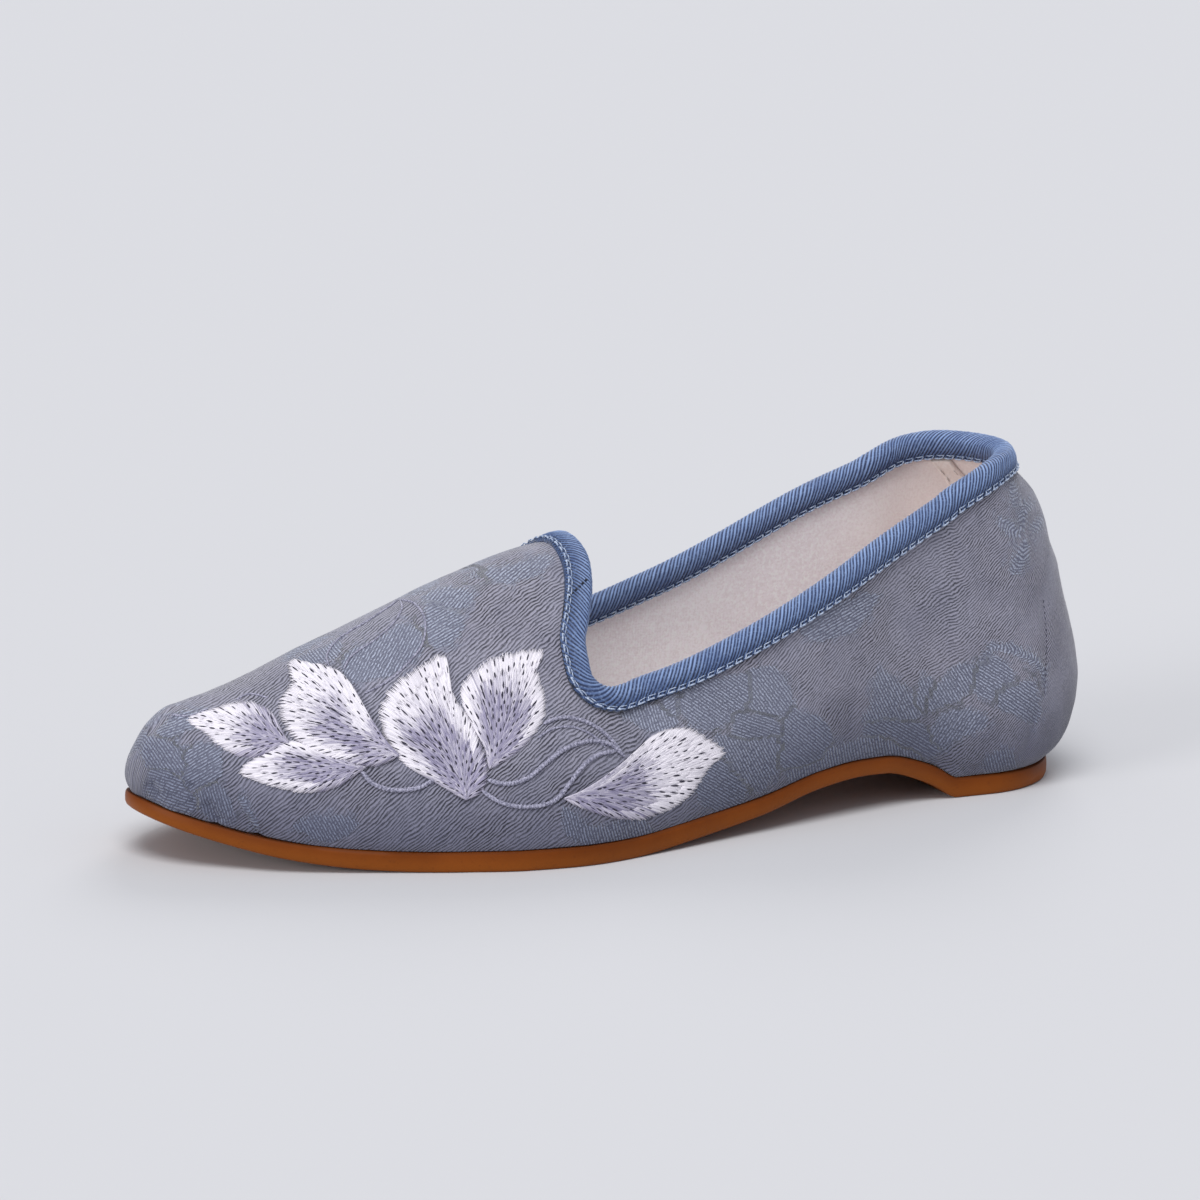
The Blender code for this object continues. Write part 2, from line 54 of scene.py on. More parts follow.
TOE_SPRING = 0.0115       # underside of the toe tip above the floor
BREAST_AT = 0.149         # heel breast, share of LENGTH
SPRING_FROM = 0.740       # where the forefoot leaves the floor, share of LENGTH
SPRING_POWER = 2.2

# Driving sizes of the upper
WALL = 0.0018             # face cloth, padding and lining together
CLEARANCE = 0.0003        # between pieces that meet
FEATHER_INSET = 0.0008    # upper's foot, in from the sole's edge
VAMP_HEIGHT = 0.0625      # ridge above the sole at the throat
BACK_HEIGHT = 0.0785      # collar above the sole at the heel
COUNTER_BULGE = 0.0080    # heel counter, back past the sole's end
COLLAR_LEAN = 0.0140      # collar back, forward of the sole's end
LEAN_REACH = 0.060        # how far forward the counter's shape fades
SIDE_SWELL = 0.0012       # cloth swelling out over the sole's edge
SWELL_HEIGHT = 0.0070
TOE_DOME = 0.012          # length of the toe's rounded front, seen from the side
INNER_LIFT = 0.0036       # inner side of the topline above the outer side

# Driving sizes of the trim
BINDING_DROP = 0.0051     # binding on the outer face
BINDING_CLOTH = 0.0011    # folded bias cloth, each side
INSOLE_THICKNESS = 0.0028
HEEL_LIFT = 0.0155        # insole top above the rubber at the heel seat
INSOLE_TOE_GAP = 0.0030   # insole stops short of the toe
LIFT_FADE = (0.10, 0.52)  # shares of LENGTH over which the heel lift runs out
TOE_GAP_FROM = 0.80       # where the insole starts to draw back, share of LENGTH
TAPE_WIDTH = 0.0072
TAPE_ROUND = 0.0208       # tape's middle, round the upper's foot from the back of the heel
TAPE_CLOTH = 0.0007

# Outline, seen from above. at: share of LENGTH. centre, half: shares of the local width.
OUTLINE = (
    # at, centre, half
    (0.000, 0.000, 0.500),
    (0.100, 0.000, 0.500),
    (0.183, 0.011, 0.480),
    (0.285, 0.059, 0.456),
    (0.407, 0.083, 0.436),
    (0.528, 0.082, 0.461),
    (0.618, 0.072, 0.499),
    (0.671, 0.053, 0.501),
    (0.724, 0.028, 0.479),
    (0.813, -0.002, 0.412),
    (0.894, -0.013, 0.332),
    (0.951, -0.022, 0.289),
    (1.000, -0.022, 0.280),
)
WIDTH_BLEND = (0.12, 0.60)  # shares of LENGTH between which heel width becomes ball width

# Underside. at: share of LENGTH. rise: share of ARCH_RISE. thick: share of SOLE_THICKNESS.
UNDERSIDE = (
    # at, rise, thick
    (0.000, 0.00, 1.04),
    (BREAST_AT, 0.00, 1.04),
    (0.173, 0.33, 1.04),
    (0.197, 0.62, 0.98),
    (0.238, 0.95, 0.88),
    (0.275, 1.00, 0.86),
    (0.320, 0.90, 0.88),
    (0.400, 0.45, 0.94),
    (0.488, 0.16, 1.00),
    (0.560, 0.00, 1.00),
    (0.740, 0.00, 1.00),
    (0.850, 0.00, 0.90),
    (1.000, 0.00, 0.75),
)

# Last. at: share of LENGTH. ridge: share of VAMP_HEIGHT. full: how full the section's side is.
# Behind the throat the ridge is the line that the side walls would meet on.
SECTIONS = (
    # at, ridge, full
    (0.000, 2.40, 2.00),
    (0.160, 2.40, 2.00),
    (0.244, 2.25, 1.95),
    (0.325, 1.85, 1.75),
    (0.407, 1.50, 1.60),
    (0.480, 1.20, 1.52),
    (0.540, 1.00, 1.50),
    (0.577, 0.978, 1.48),
    (0.650, 0.897, 1.48),
    (0.732, 0.777, 1.52),
    (0.813, 0.650, 1.62),
    (0.874, 0.530, 1.72),
    (0.915, 0.450, 1.80),
    (0.959, 0.370, 1.90),
    (1.000, 0.290, 1.95),
)
RIDGE_SIDE = (
    # at, side: ridge's place across, share of BALL_WIDTH
    (0.000, 0.000),
    (0.300, 0.000),
    (0.540, -0.024),
    (0.800, -0.024),
    (1.000, -0.022),
)

# Heel counter from the side. up: share of BACK_HEIGHT. back: share of COUNTER_BULGE past the
# sole's end. forward: share of COLLAR_LEAN.
COUNTER = (
    # up, back, forward
    (0.00, 0.00, 0.00),
    (0.05, 0.42, 0.00),
    (0.13, 0.74, 0.00),
    (0.20, 0.93, 0.00),
    (0.27, 1.00, 0.00),
    (0.33, 0.93, 0.00),
    (0.44, 0.68, 0.00),
    (0.53, 0.41, 0.00),
    (0.61, 0.23, 0.00),
    (0.72, 0.00, 0.09),
    (0.85, 0.00, 0.39),
    (0.94, 0.00, 0.84),
    (1.00, 0.00, 1.00),
)
COUNTER_SIDE = 0.30        # the bulge at the sides, share of the bulge at the back

# Topline along one side, from the collar's back to the throat's low corner. at: station on the
# last, share of LENGTH. up: share of BACK_HEIGHT above the sole's heel seat. inner: share of
# INNER_LIFT.
TOPLINE = (
    # at, up, inner
    (0.000, 1.000, 0.0),
    (0.030, 0.996, 0.0),
    (0.070, 0.978, 0.0),
    (0.140, 0.918, 0.1),
    (0.235, 0.795, 0.7),
    (0.325, 0.655, 1.0),
    (0.407, 0.545, 1.0),
    (0.480, 0.468, 0.8),
    (0.530, 0.430, 0.6),
)

# Throat on one side, from its low corner round to the vamp's peak. way: share of the way round.
# at: share of LENGTH. turned: share of the section's turn left between the corner and the ridge.
THROAT = (
    # way, at, turned
    (0.00, 0.530, 0.000),
    (0.15, 0.553, 0.004),
    (0.29, 0.571, 0.030),
    (0.42, 0.583, 0.110),
    (0.55, 0.581, 0.240),
    (0.68, 0.567, 0.380),
    (0.80, 0.552, 0.550),
    (0.90, 0.5435, 0.760),
    (1.00, 0.5425, 1.000),
)
HEEL_STATION, CORNER_STATION = TOPLINE[0][0], TOPLINE[-1][0]

# How finely the looks are meshed
QUARTER_COLUMNS = 150
THROAT_COLUMNS = 44
VAMP_COLUMNS = 120
BODY_ROWS = 54
BAND_ROWS = 8
ROW_CROWDING = 1.25
SOLE_COLUMNS = 150
WALK_STEPS = 2
SQUARE = ((0, 0), (1, 0), (1, 1), (0, 1))
MM = 0.001


def smooth(t):
    """Eased step from 0 to 1."""
    t = np.clip(t, 0.0, 1.0)
    return t * t * (3.0 - 2.0 * t)


def curve_through(table, column, x):
    """A monotone cubic through one column of a table whose first column is the place."""
    rows = np.asarray(table, float)
    px, py = rows[:, 0], rows[:, column]
    step = np.diff(px)
    slope = np.diff(py) / step
    tangent = np.zeros(len(px))
    same = slope[1:] * slope[:-1] > 0
    weight = 3.0 * (step[1:] + step[:-1])
    first = (2.0 * step[1:] + step[:-1]) / np.where(same, slope[:-1], 1.0)
    second = (step[1:] + 2.0 * step[:-1]) / np.where(same, slope[1:], 1.0)
    tangent[1:-1] = np.where(same, weight / np.where(same, first + second, 1.0), 0.0)
    tangent[0], tangent[-1] = slope[0], slope[-1]
    x = np.clip(x, px[0], px[-1])
    i = np.clip(np.searchsorted(px, x, side="right") - 1, 0, len(step) - 1)
    t = (x - px[i]) / step[i]
    h = step[i]
    return (
        py[i] * (1 + 2 * t) * (1 - t) ** 2
        + tangent[i] * h * t * (1 - t) ** 2
        + py[i + 1] * t * t * (3 - 2 * t)
        - tangent[i + 1] * h * t * t * (1 - t)
    )


# Outline and sole heights


def along(turn):
    """Share of LENGTH for a turn round the outline: 0 at the heel's back, 1 or -1 at the toe."""
    return 0.5 * (1.0 - np.cos(np.pi * np.abs(turn)))


def end_round(at):
    """How far the rounded ends have closed in: 1 along the sides, 0 at heel back and toe tip."""
    heel = np.clip(1.0 - at * LENGTH / HEEL_ROUND, 0.0, 1.0)
    toe = np.clip(1.0 - (1.0 - at) * LENGTH / TOE_ROUND, 0.0, 1.0)
    closing = np.sqrt(np.maximum(1.0 - heel**2, 0.0) * np.maximum(1.0 - toe**2, 0.0))
    return closing, heel, toe


def local_width(at):
    return HEEL_WIDTH + (BALL_WIDTH - HEEL_WIDTH) * smooth(
        (at - WIDTH_BLEND[0]) / (WIDTH_BLEND[1] - WIDTH_BLEND[0])
    )


def centre_line(at):
    return curve_through(OUTLINE, 1, at) * local_width(at)


def half_width(at):
    return curve_through(OUTLINE, 2, at) * local_width(at)


def underside(at):
    spring = np.clip((at - SPRING_FROM) / (1.0 - SPRING_FROM), 0.0, 1.0)
    return ARCH_RISE * curve_through(UNDERSIDE, 1, at) + TOE_SPRING * spring**SPRING_POWER


def sole_top(at):
    return underside(at) + SOLE_THICKNESS * curve_through(UNDERSIDE, 2, at)


def drawn_in(at, inset):
    """Share of LENGTH at which a station lies once the outline is drawn in by inset."""
    return (inset + at * (LENGTH - 2.0 * inset)) / LENGTH


def outline_point(turn, inset):
    """Plan position on the outline, drawn in by inset."""
    at = along(turn)
    side = np.where(turn < 0, -1.0, 1.0)
    closing, _, _ = end_round(at)
    x = drawn_in(at, inset) * LENGTH
    y = centre_line(at) + side * (half_width(at) - inset) * closing
    return x, y


# The last: a point and a normal of the upper's outer face


def last_point(turn, lift):
    """turn goes round the outline, lift goes up the section: 0 at the sole, pi/2 on the ridge."""
    at = along(turn)
    side = np.where(turn < 0, -1.0, 1.0)
    closing, heel, toe = end_round(at)
    full = curve_through(SECTIONS, 2, at)
    tip = np.clip(1.0 - (1.0 - at) * LENGTH / TOE_DOME, 0.0, 1.0)
    height = curve_through(SECTIONS, 1, at) * VAMP_HEIGHT * np.sqrt(1.0 - tip**2)
    share = np.sin(lift) ** (2.0 / full)
    rise = height * share
    up = np.clip(rise / BACK_HEIGHT, 0.0, 1.3)
    back = curve_through(COUNTER, 1, up)
    forward = curve_through(COUNTER, 2, up)
    fade = 1.0 - smooth(at * LENGTH / LEAN_REACH)
    swell = SIDE_SWELL * (rise / SWELL_HEIGHT) * np.exp(1.0 - rise / SWELL_HEIGHT)
    counter = COUNTER_BULGE * back
    half = half_width(at) - FEATHER_INSET
    middle = centre_line(at)
    middle = middle + (curve_through(RIDGE_SIDE, 1, at) * BALL_WIDTH - middle) * share
    reach = half * np.cos(lift) + swell + COUNTER_SIDE * counter * fade
    foot = drawn_in(at, FEATHER_INSET)
    x = (
        foot * LENGTH
        + swell * toe
        - (swell * heel + counter * fade)
        + COLLAR_LEAN * forward * fade
    )
    y = middle + side * reach * closing
    z = sole_top(foot) + CLEARANCE + rise
    return np.stack([x, y, z], -1)


def last_normal(turn, lift):
    """Outward normal, by small steps kept off the poles."""
    step = 1e-4
    turn = np.clip(turn, -1.0 + 4 * step, 1.0 - 4 * step)
    turn = np.where(np.abs(turn) < step, step, turn)
    lift = np.clip(lift, 4 * step, 0.5 * np.pi - 4 * step)
    round_way = last_point(turn + step, lift) - last_point(turn - step, lift)
    up_way = last_point(turn, lift + step) - last_point(turn, lift - step)
    normal = -np.cross(round_way, up_way)
    return normal / np.linalg.norm(normal, axis=-1, keepdims=True)


def turn_at(at):
    """The turn round the outline that belongs to a station."""
    return np.arccos(1.0 - 2.0 * np.clip(at, 0.0, 1.0)) / np.pi


def lift_at_height(at, z):
    """The lift at which the last's section reaches a height."""
    ridge = curve_through(SECTIONS, 1, at) * VAMP_HEIGHT
    foot = sole_top(drawn_in(at, FEATHER_INSET)) + CLEARANCE
    share = np.clip((z - foot) / ridge, 0.0, 1.0)
    return np.arcsin(share ** (0.5 * curve_through(SECTIONS, 2, at)))


# The topline: turn and lift round one side, side 1 outer and -1 inner


def collar_lift(at, side):
    up = sole_top(HEEL_STATION) + BACK_HEIGHT * curve_through(TOPLINE, 1, at)
    if side < 0:
        up = up + INNER_LIFT * curve_through(TOPLINE, 2, at)
    return lift_at_height(at, up)


def tape_turns():
    """Turns of the tape's back and front edge, measured round the upper's foot."""
    turns = np.linspace(0.0, 0.4, 800)
    x, y = outline_point(turns, FEATHER_INSET)
    way_round = np.concatenate([[0.0], np.cumsum(np.hypot(np.diff(x), np.diff(y)))])
    across = 0.5 * TAPE_WIDTH * np.array([-1.0, 1.0])
    return np.interp(TAPE_ROUND + across, way_round, turns)


def quarter_turns():
    """Turns of the columns from the back of the heel to the throat's corner."""
    return np.linspace(0.0, turn_at(CORNER_STATION), QUARTER_COLUMNS + 1)


def topline(side):
    """Turn and lift of the topline's columns on one side, back seam to peak."""
    back = quarter_turns()
    back_lift = collar_lift(along(back), side)
    way = np.linspace(0.0, 1.0, THROAT_COLUMNS + 1)[1:]
    at = curve_through(THROAT, 1, way)
    turned = curve_through(THROAT, 2, way)
    front_lift = back_lift[-1] + turned * (0.5 * np.pi - back_lift[-1])
    return side * np.concatenate([back, turn_at(at)]), np.concatenate([back_lift, front_lift])


def band_lines(side, drop, rows):
    """Lines of the band under the topline, each a share of drop down the outer face."""
    turn, lift = topline(side)
    lines = [(turn, lift)]
    edge = last_point(turn, lift)
    tangent = np.gradient(edge, axis=0)
    tangent[0] = (0.0, side, 0.0)
    tangent[-1] = (0.0, -side, 0.0)
    tangent /= np.linalg.norm(tangent, axis=1, keepdims=True)
    steps = rows * WALK_STEPS
    for k in range(1, steps + 1):
        normal = last_normal(turn, lift)
        down = np.cross(normal, tangent) * side
        step = 1e-4
        round_way = (last_point(turn + step, lift) - last_point(turn - step, lift)) / (2 * step)
        up_way = (
            last_point(turn, np.minimum(lift + step, 0.5 * np.pi)) - last_point(turn, lift - step)
        ) / (np.minimum(lift + step, 0.5 * np.pi) - lift + step)[:, None]
        a = np.sum(round_way * round_way, 1)
        b = np.sum(round_way * up_way, 1)
        c = np.sum(up_way * up_way, 1)
        d = np.sum(down * round_way, 1)
        e = np.sum(down * up_way, 1)
        det = a * c - b * b
        move = drop / steps
        new_turn = turn + move * (c * d - b * e) / det
        new_lift = np.clip(lift + move * (a * e - b * d) / det, 0.0, 0.5 * np.pi)
        new_turn[0], new_lift[-1] = 0.0, 0.5 * np.pi
        turn, lift = new_turn, new_lift
        if k % WALK_STEPS == 0:
            lines.append((turn, lift))
    return lines


def column_cells(column, side, low_turn, low_lift):
    """Turn and lift of a quarter column's rows, foot to band."""
    share = (np.arange(BODY_ROWS + 1) / BODY_ROWS) ** ROW_CROWDING
    foot = quarter_turns()[column] * side
    return foot + (low_turn[column] - foot) * share, low_lift[column] * share


def upper_sheet():
    """Turn and lift of the upper's grid, and its faces, with the toe tip's vertex last."""
    cells, faces, index = [], [], {}

    def vertex(key, turn, lift):
        if key not in index:
            index[key] = len(cells)
            cells.append((turn, lift))
        return index[key]

    corner = len(quarter_turns()) - 1
    last_column = corner + THROAT_COLUMNS
    rims = {"top": [], "foot": []}
    for side in (1, -1):
        lines = band_lines(side, BINDING_DROP, BAND_ROWS)
        low = lines[-1]
        grid = {}
        for column in range(last_column + 1):
            seam = 0 if column in (0, last_column) else side
            for row, (turn, lift) in enumerate(lines):
                key = ("band", column, row, seam)
                grid["band", column, row] = vertex(key, turn[column], lift[column])
        for column in range(corner + 1):
            turn, lift = column_cells(column, side, *low)
            seam = 0 if column in (0, last_column) else side
            for row in range(BODY_ROWS):
                key = ("body", column, row, seam)
                grid["body", column, row] = vertex(key, turn[row], lift[row])
            grid["body", column, BODY_ROWS] = grid["band", column, BAND_ROWS]
        for column in range(last_column):
            for row in range(BAND_ROWS):
                faces.append([grid["band", column + i, row + j] for i, j in SQUARE])
        for column in range(corner):
            for row in range(BODY_ROWS):
                faces.append([grid["body", column + i, row + j] for i, j in SQUARE])
        # The vamp: rows of constant lift, from the throat to the toe tip
        starts = [grid["body", corner, row] for row in range(BODY_ROWS + 1)]
        starts += [grid["band", column, BAND_ROWS] for column in range(corner + 1, last_column + 1)]
        rows = []
        for row, first in enumerate(starts):
            turn0, lift = cells[first]
            on_ridge = row == len(starts) - 1
            line = [first]
            for k in range(1, VAMP_COLUMNS):
                turn = turn0 + (side - turn0) * k / VAMP_COLUMNS
                line.append(vertex(("vamp", k, row, 0 if on_ridge else side), turn, lift))
            rows.append(line)
        for row in range(len(rows) - 1):
            for k in range(VAMP_COLUMNS - 1):
                faces.append([rows[row + i][k + j] for i, j in SQUARE])
            faces.append([rows[row][-1], rows[row + 1][-1], "tip"])
        rims["top"].append([grid["band", column, 0] for column in range(last_column + 1)])
        rims["foot"].append([grid["body", column, 0] for column in range(corner)] + rows[0])
    tip = len(cells)
    cells.append((1.0, 0.0))
    faces = [[tip if v == "tip" else v for v in face] for face in faces]
    top = rims["top"][0] + rims["top"][1][-2:0:-1]
    foot = rims["foot"][0] + [tip] + rims["foot"][1][:0:-1]
    return np.array(cells), faces, top, foot


def insole_top(at):
    """Height of the footbed: a lift at the heel that fades out before the ball."""
    lift = (HEEL_LIFT + sole_top(HEEL_STATION)) - (INSOLE_THICKNESS + sole_top(at))
    seat = 1.0 - smooth((at - LIFT_FADE[0]) / (LIFT_FADE[1] - LIFT_FADE[0]))
    return sole_top(at) + CLEARANCE + INSOLE_THICKNESS + np.maximum(lift, 0.0) * seat


def box_centre():
    """Middle of the whole shoe's box in the outline's frame, from the last and the outline."""
    turns, lifts = np.meshgrid(np.linspace(-1.0, 1.0, 401), np.linspace(0.0, 0.7, 141))
    body = last_point(turns, lifts).reshape(-1, 3)
    x, y = outline_point(np.linspace(-1.0, 1.0, 401), 0.0)
    low = (min(x.min(), body[:, 0].min()), min(y.min(), body[:, 1].min()))
    high = (max(x.max(), body[:, 0].max()), max(y.max(), body[:, 1].max()))
    return np.array([0.5 * (low[0] + high[0]), 0.5 * (low[1] + high[1]), 0.0])


CENTRE = box_centre()


# The camera that sees the shoe as the photograph does

PHOTO_SIZE = 1200.0        # pixels, each way
FOCAL_PIXELS = 5102.0
CAMERA_TURN = math.radians(26.9)    # from the outer side towards the toe
CAMERA_RISE = math.radians(13.0)
CAMERA_ROLL = math.radians(1.5)
CAMERA_AWAY = 1.2367
AIM = np.array([0.12494, 0.0, 0.05201]) - CENTRE  # at the middle of the picture
SENSOR = 36.0

BACK = np.array([
    math.sin(CAMERA_TURN) * math.cos(CAMERA_RISE),
    math.cos(CAMERA_TURN) * math.cos(CAMERA_RISE),
    math.sin(CAMERA_RISE),
])
EYE = AIM + BACK * CAMERA_AWAY
LEVEL_RIGHT = np.array([-math.cos(CAMERA_TURN), math.sin(CAMERA_TURN), 0.0])
LEVEL_UP = np.cross(LEVEL_RIGHT, -BACK)
RIGHT = LEVEL_RIGHT * math.cos(CAMERA_ROLL) + LEVEL_UP * math.sin(CAMERA_ROLL)
UP = LEVEL_UP * math.cos(CAMERA_ROLL) - LEVEL_RIGHT * math.sin(CAMERA_ROLL)
PIXEL = CAMERA_AWAY / FOCAL_PIXELS  # metres a pixel covers on the shoe


def to_photo(points):
    """Pixel coordinates of points, in the photograph's frame."""
    ray = np.asarray(points) - EYE
    depth = ray @ -BACK
    across = 0.5 * PHOTO_SIZE + FOCAL_PIXELS * (ray @ RIGHT) / depth
    down = 0.5 * PHOTO_SIZE - FOCAL_PIXELS * (ray @ UP) / depth
    return np.stack([across, down], -1)


def cast(tree, pixels):
    """Points and normals where rays through pixels meet a surface."""
    points, normals = [], []
    for across, down in pixels:
        ray = (
            RIGHT * (across - 0.5 * PHOTO_SIZE)
            + UP * (0.5 * PHOTO_SIZE - down)
            - BACK * FOCAL_PIXELS
        )
        hit, normal, _, _ = tree.ray_cast(Vector(EYE), Vector(ray).normalized())
        if hit is None:
            hit, normal = Vector(points[-1]), Vector(normals[-1])
        if normal.dot(Vector(ray)) > 0.0:
            normal = -normal
        points.append(hit[:])
        normals.append(normal[:])
    return np.array(points), np.array(normals)


def make_camera():
    camera = bpy.data.objects.new("camera", bpy.data.cameras.new("camera"))
    camera.data.sensor_width = SENSOR
    camera.data.lens = FOCAL_PIXELS / PHOTO_SIZE * SENSOR
    camera.data.clip_start, camera.data.clip_end = 0.05, 50.0
    axes = Matrix([RIGHT, UP, BACK]).transposed().to_4x4()
    camera.matrix_world = Matrix.Translation(Vector(EYE)) @ axes
    bpy.context.collection.objects.link(camera)
    bpy.context.scene.camera = camera


# Node materials


def srgb(red, green, blue):
    """Linear colour from the 0 to 255 values of a picture."""
    return tuple(((v / 255.0 + 0.055) / 1.055) ** 2.4 for v in (red, green, blue)) + (1.0,)


class Shade:
    """One Principled material and short calls for the nodes that feed it."""

    def __init__(self, name, roughness, **settings):
        self.material = bpy.data.materials.new(name)
        self.material.use_nodes = True
        self.tree = self.material.node_tree
        self.surface = self.tree.nodes["Principled BSDF"]
        self.surface.inputs["Roughness"].default_value = roughness
        for socket, value in settings.items():
            self.surface.inputs[socket.replace("_", " ")].default_value = value

    def add(self, kind, inputs, **settings):
        node = self.tree.nodes.new(kind)
        for key, value in settings.items():
            setattr(node, key, value)
        for key, value in inputs.items():
            if isinstance(value, bpy.types.NodeSocket):
                self.tree.links.new(value, node.inputs[key])
            else:
                node.inputs[key].default_value = value
        return node

    def math(self, operation, a, b=0.0):
        return self.add("ShaderNodeMath", {0: a, 1: b}, operation=operation).outputs[0]

    def plus(self, a, b):
        return self.math("ADD", a, b)

    def minus(self, a, b):
        return self.math("SUBTRACT", a, b)

    def times(self, a, b):
        return self.math("MULTIPLY", a, b)

    def part(self, vector, axis):
        return self.add("ShaderNodeSeparateXYZ", {0: vector}).outputs[axis]

    def attribute(self, name, output):
        return self.add("ShaderNodeAttribute", {}, attribute_name=name).outputs[output]

    def place(self, vector, scale, turn=0.0):
        """The vector turned about Z by an angle, then scaled."""
        turned = self.add(
            "ShaderNodeVectorRotate", {"Vector": vector, "Angle": turn}, rotation_type="Z_AXIS"
        )
        made = self.add(
            "ShaderNodeVectorMath", {0: turned.outputs[0], 1: scale}, operation="MULTIPLY"
        )
        return made.outputs[0]

    def position(self):
        return self.add("ShaderNodeTexCoord", {}).outputs["Object"]

    def noise(self, vector, scale=1.0, detail=2.0, rough=0.5, bend=0.0):
        made = self.add(
            "ShaderNodeTexNoise",
            {"Vector": vector, "Scale": scale, "Detail": detail, "Roughness": rough,
             "Distortion": bend},
        )
        return made.outputs[0]

    def spread(self, value, low, high, to_low=0.0, to_high=1.0):
        made = self.add(
            "ShaderNodeMapRange", {0: value, 1: low, 2: high, 3: to_low, 4: to_high},
            interpolation_type="SMOOTHSTEP",
        )
        return made.outputs[0]

    def mix(self, factor, a, b, blend="MIX"):
        made = self.add(
            "ShaderNodeMix", {0: factor, 6: a, 7: b}, data_type="RGBA", blend_type=blend
        )
        return made.outputs[2]

    def bump(self, height, distance, strength=1.0, under=None):
        inputs = {"Height": height, "Distance": distance, "Strength": strength}
        if under is not None:
            inputs["Normal"] = under
        return self.add("ShaderNodeBump", inputs).outputs[0]

    def colour(self, value):
        self.tree.links.new(value, self.surface.inputs["Base Color"])

    def relief(self, value):
        self.tree.links.new(value, self.surface.inputs["Normal"])

    def gloss(self, value):
        self.tree.links.new(value, self.surface.inputs["Roughness"])


# Colours, as they are seen on a screen
INKS = {
    "ground ridge": (157, 155, 171),
    "ground hollow": (48, 47, 58),
    "ground slit": (44, 44, 56),
    "figure hollow": (82, 86, 108),
    "figure ridge": (182, 190, 212),
    "figure fleck": (108, 108, 128),
    "figure rim": (62, 62, 78),
    "cloth pale patch": (158, 162, 184),
    "cloth dark patch": (90, 92, 114),
    "cloth low shade": (186, 188, 198),
    "lining": (255, 250, 252),
    "lining deep": (246, 238, 241),
    "lining fleck": (220, 207, 204),
    "lining light": (255, 254, 253),
    "lining heel": (226, 203, 192),
    "footbed": (236, 224, 220),
    "footbed deep": (216, 202, 197),
    "tape": (255, 250, 246),
    "tape deep": (246, 236, 230),
    "tape thread": (240, 228, 222),
    "tape thread hollow": (190, 176, 170),
    "binding low hollow shade": (12, 23, 50),
    "binding hollow shade": (30, 46, 84),
    "binding low ridge shade": (70, 95, 143),
    "binding ridge": (137, 162, 208),
    "binding cloud": (50, 72, 120),
    "binding strand": (158, 182, 222),
    "stitch": (196, 208, 228),
    "stitch hollow": (120, 140, 176),
    "dark stitch": (20, 26, 44),
    "seam stitch": (70, 70, 88),
    "floss white": (240, 235, 243),
    "floss lilac": (150, 144, 172),
    "floss streak": (108, 104, 132),
    "padding": (112, 108, 134),
    "needle slit shade": (46, 43, 60),
    "cord": (178, 176, 197),
    "cord hollow": (104, 104, 126),
    "gum deep": (108, 51, 9),
    "gum": (124, 61, 13),
    "gum low": (156, 86, 26),
    "gum top shade": (72, 40, 24),
    "gum dust": (96, 48, 18),
    "plain fleck": (60, 60, 70),
}


def ink(name):
    """One of the colours, in the values that a material takes."""
    return srgb(*INKS[name])


WEAVE_TILT = math.radians(20.0)  # how the ground's lines rise on the vamp
WEAVE_STEEPER = (129.0, 0.0066)  # mm along the shoe behind which they steepen, and how fast
WEAVE_PITCH = 0.88               # mm between the ground's lines on the vamp
FIGURE_PITCH = 0.70              # mm between the figures' threads
LOW_CLOTH_SHADE = (2.0, 26.0)          # mm above the sole between which the cloth is darker, as painted shade
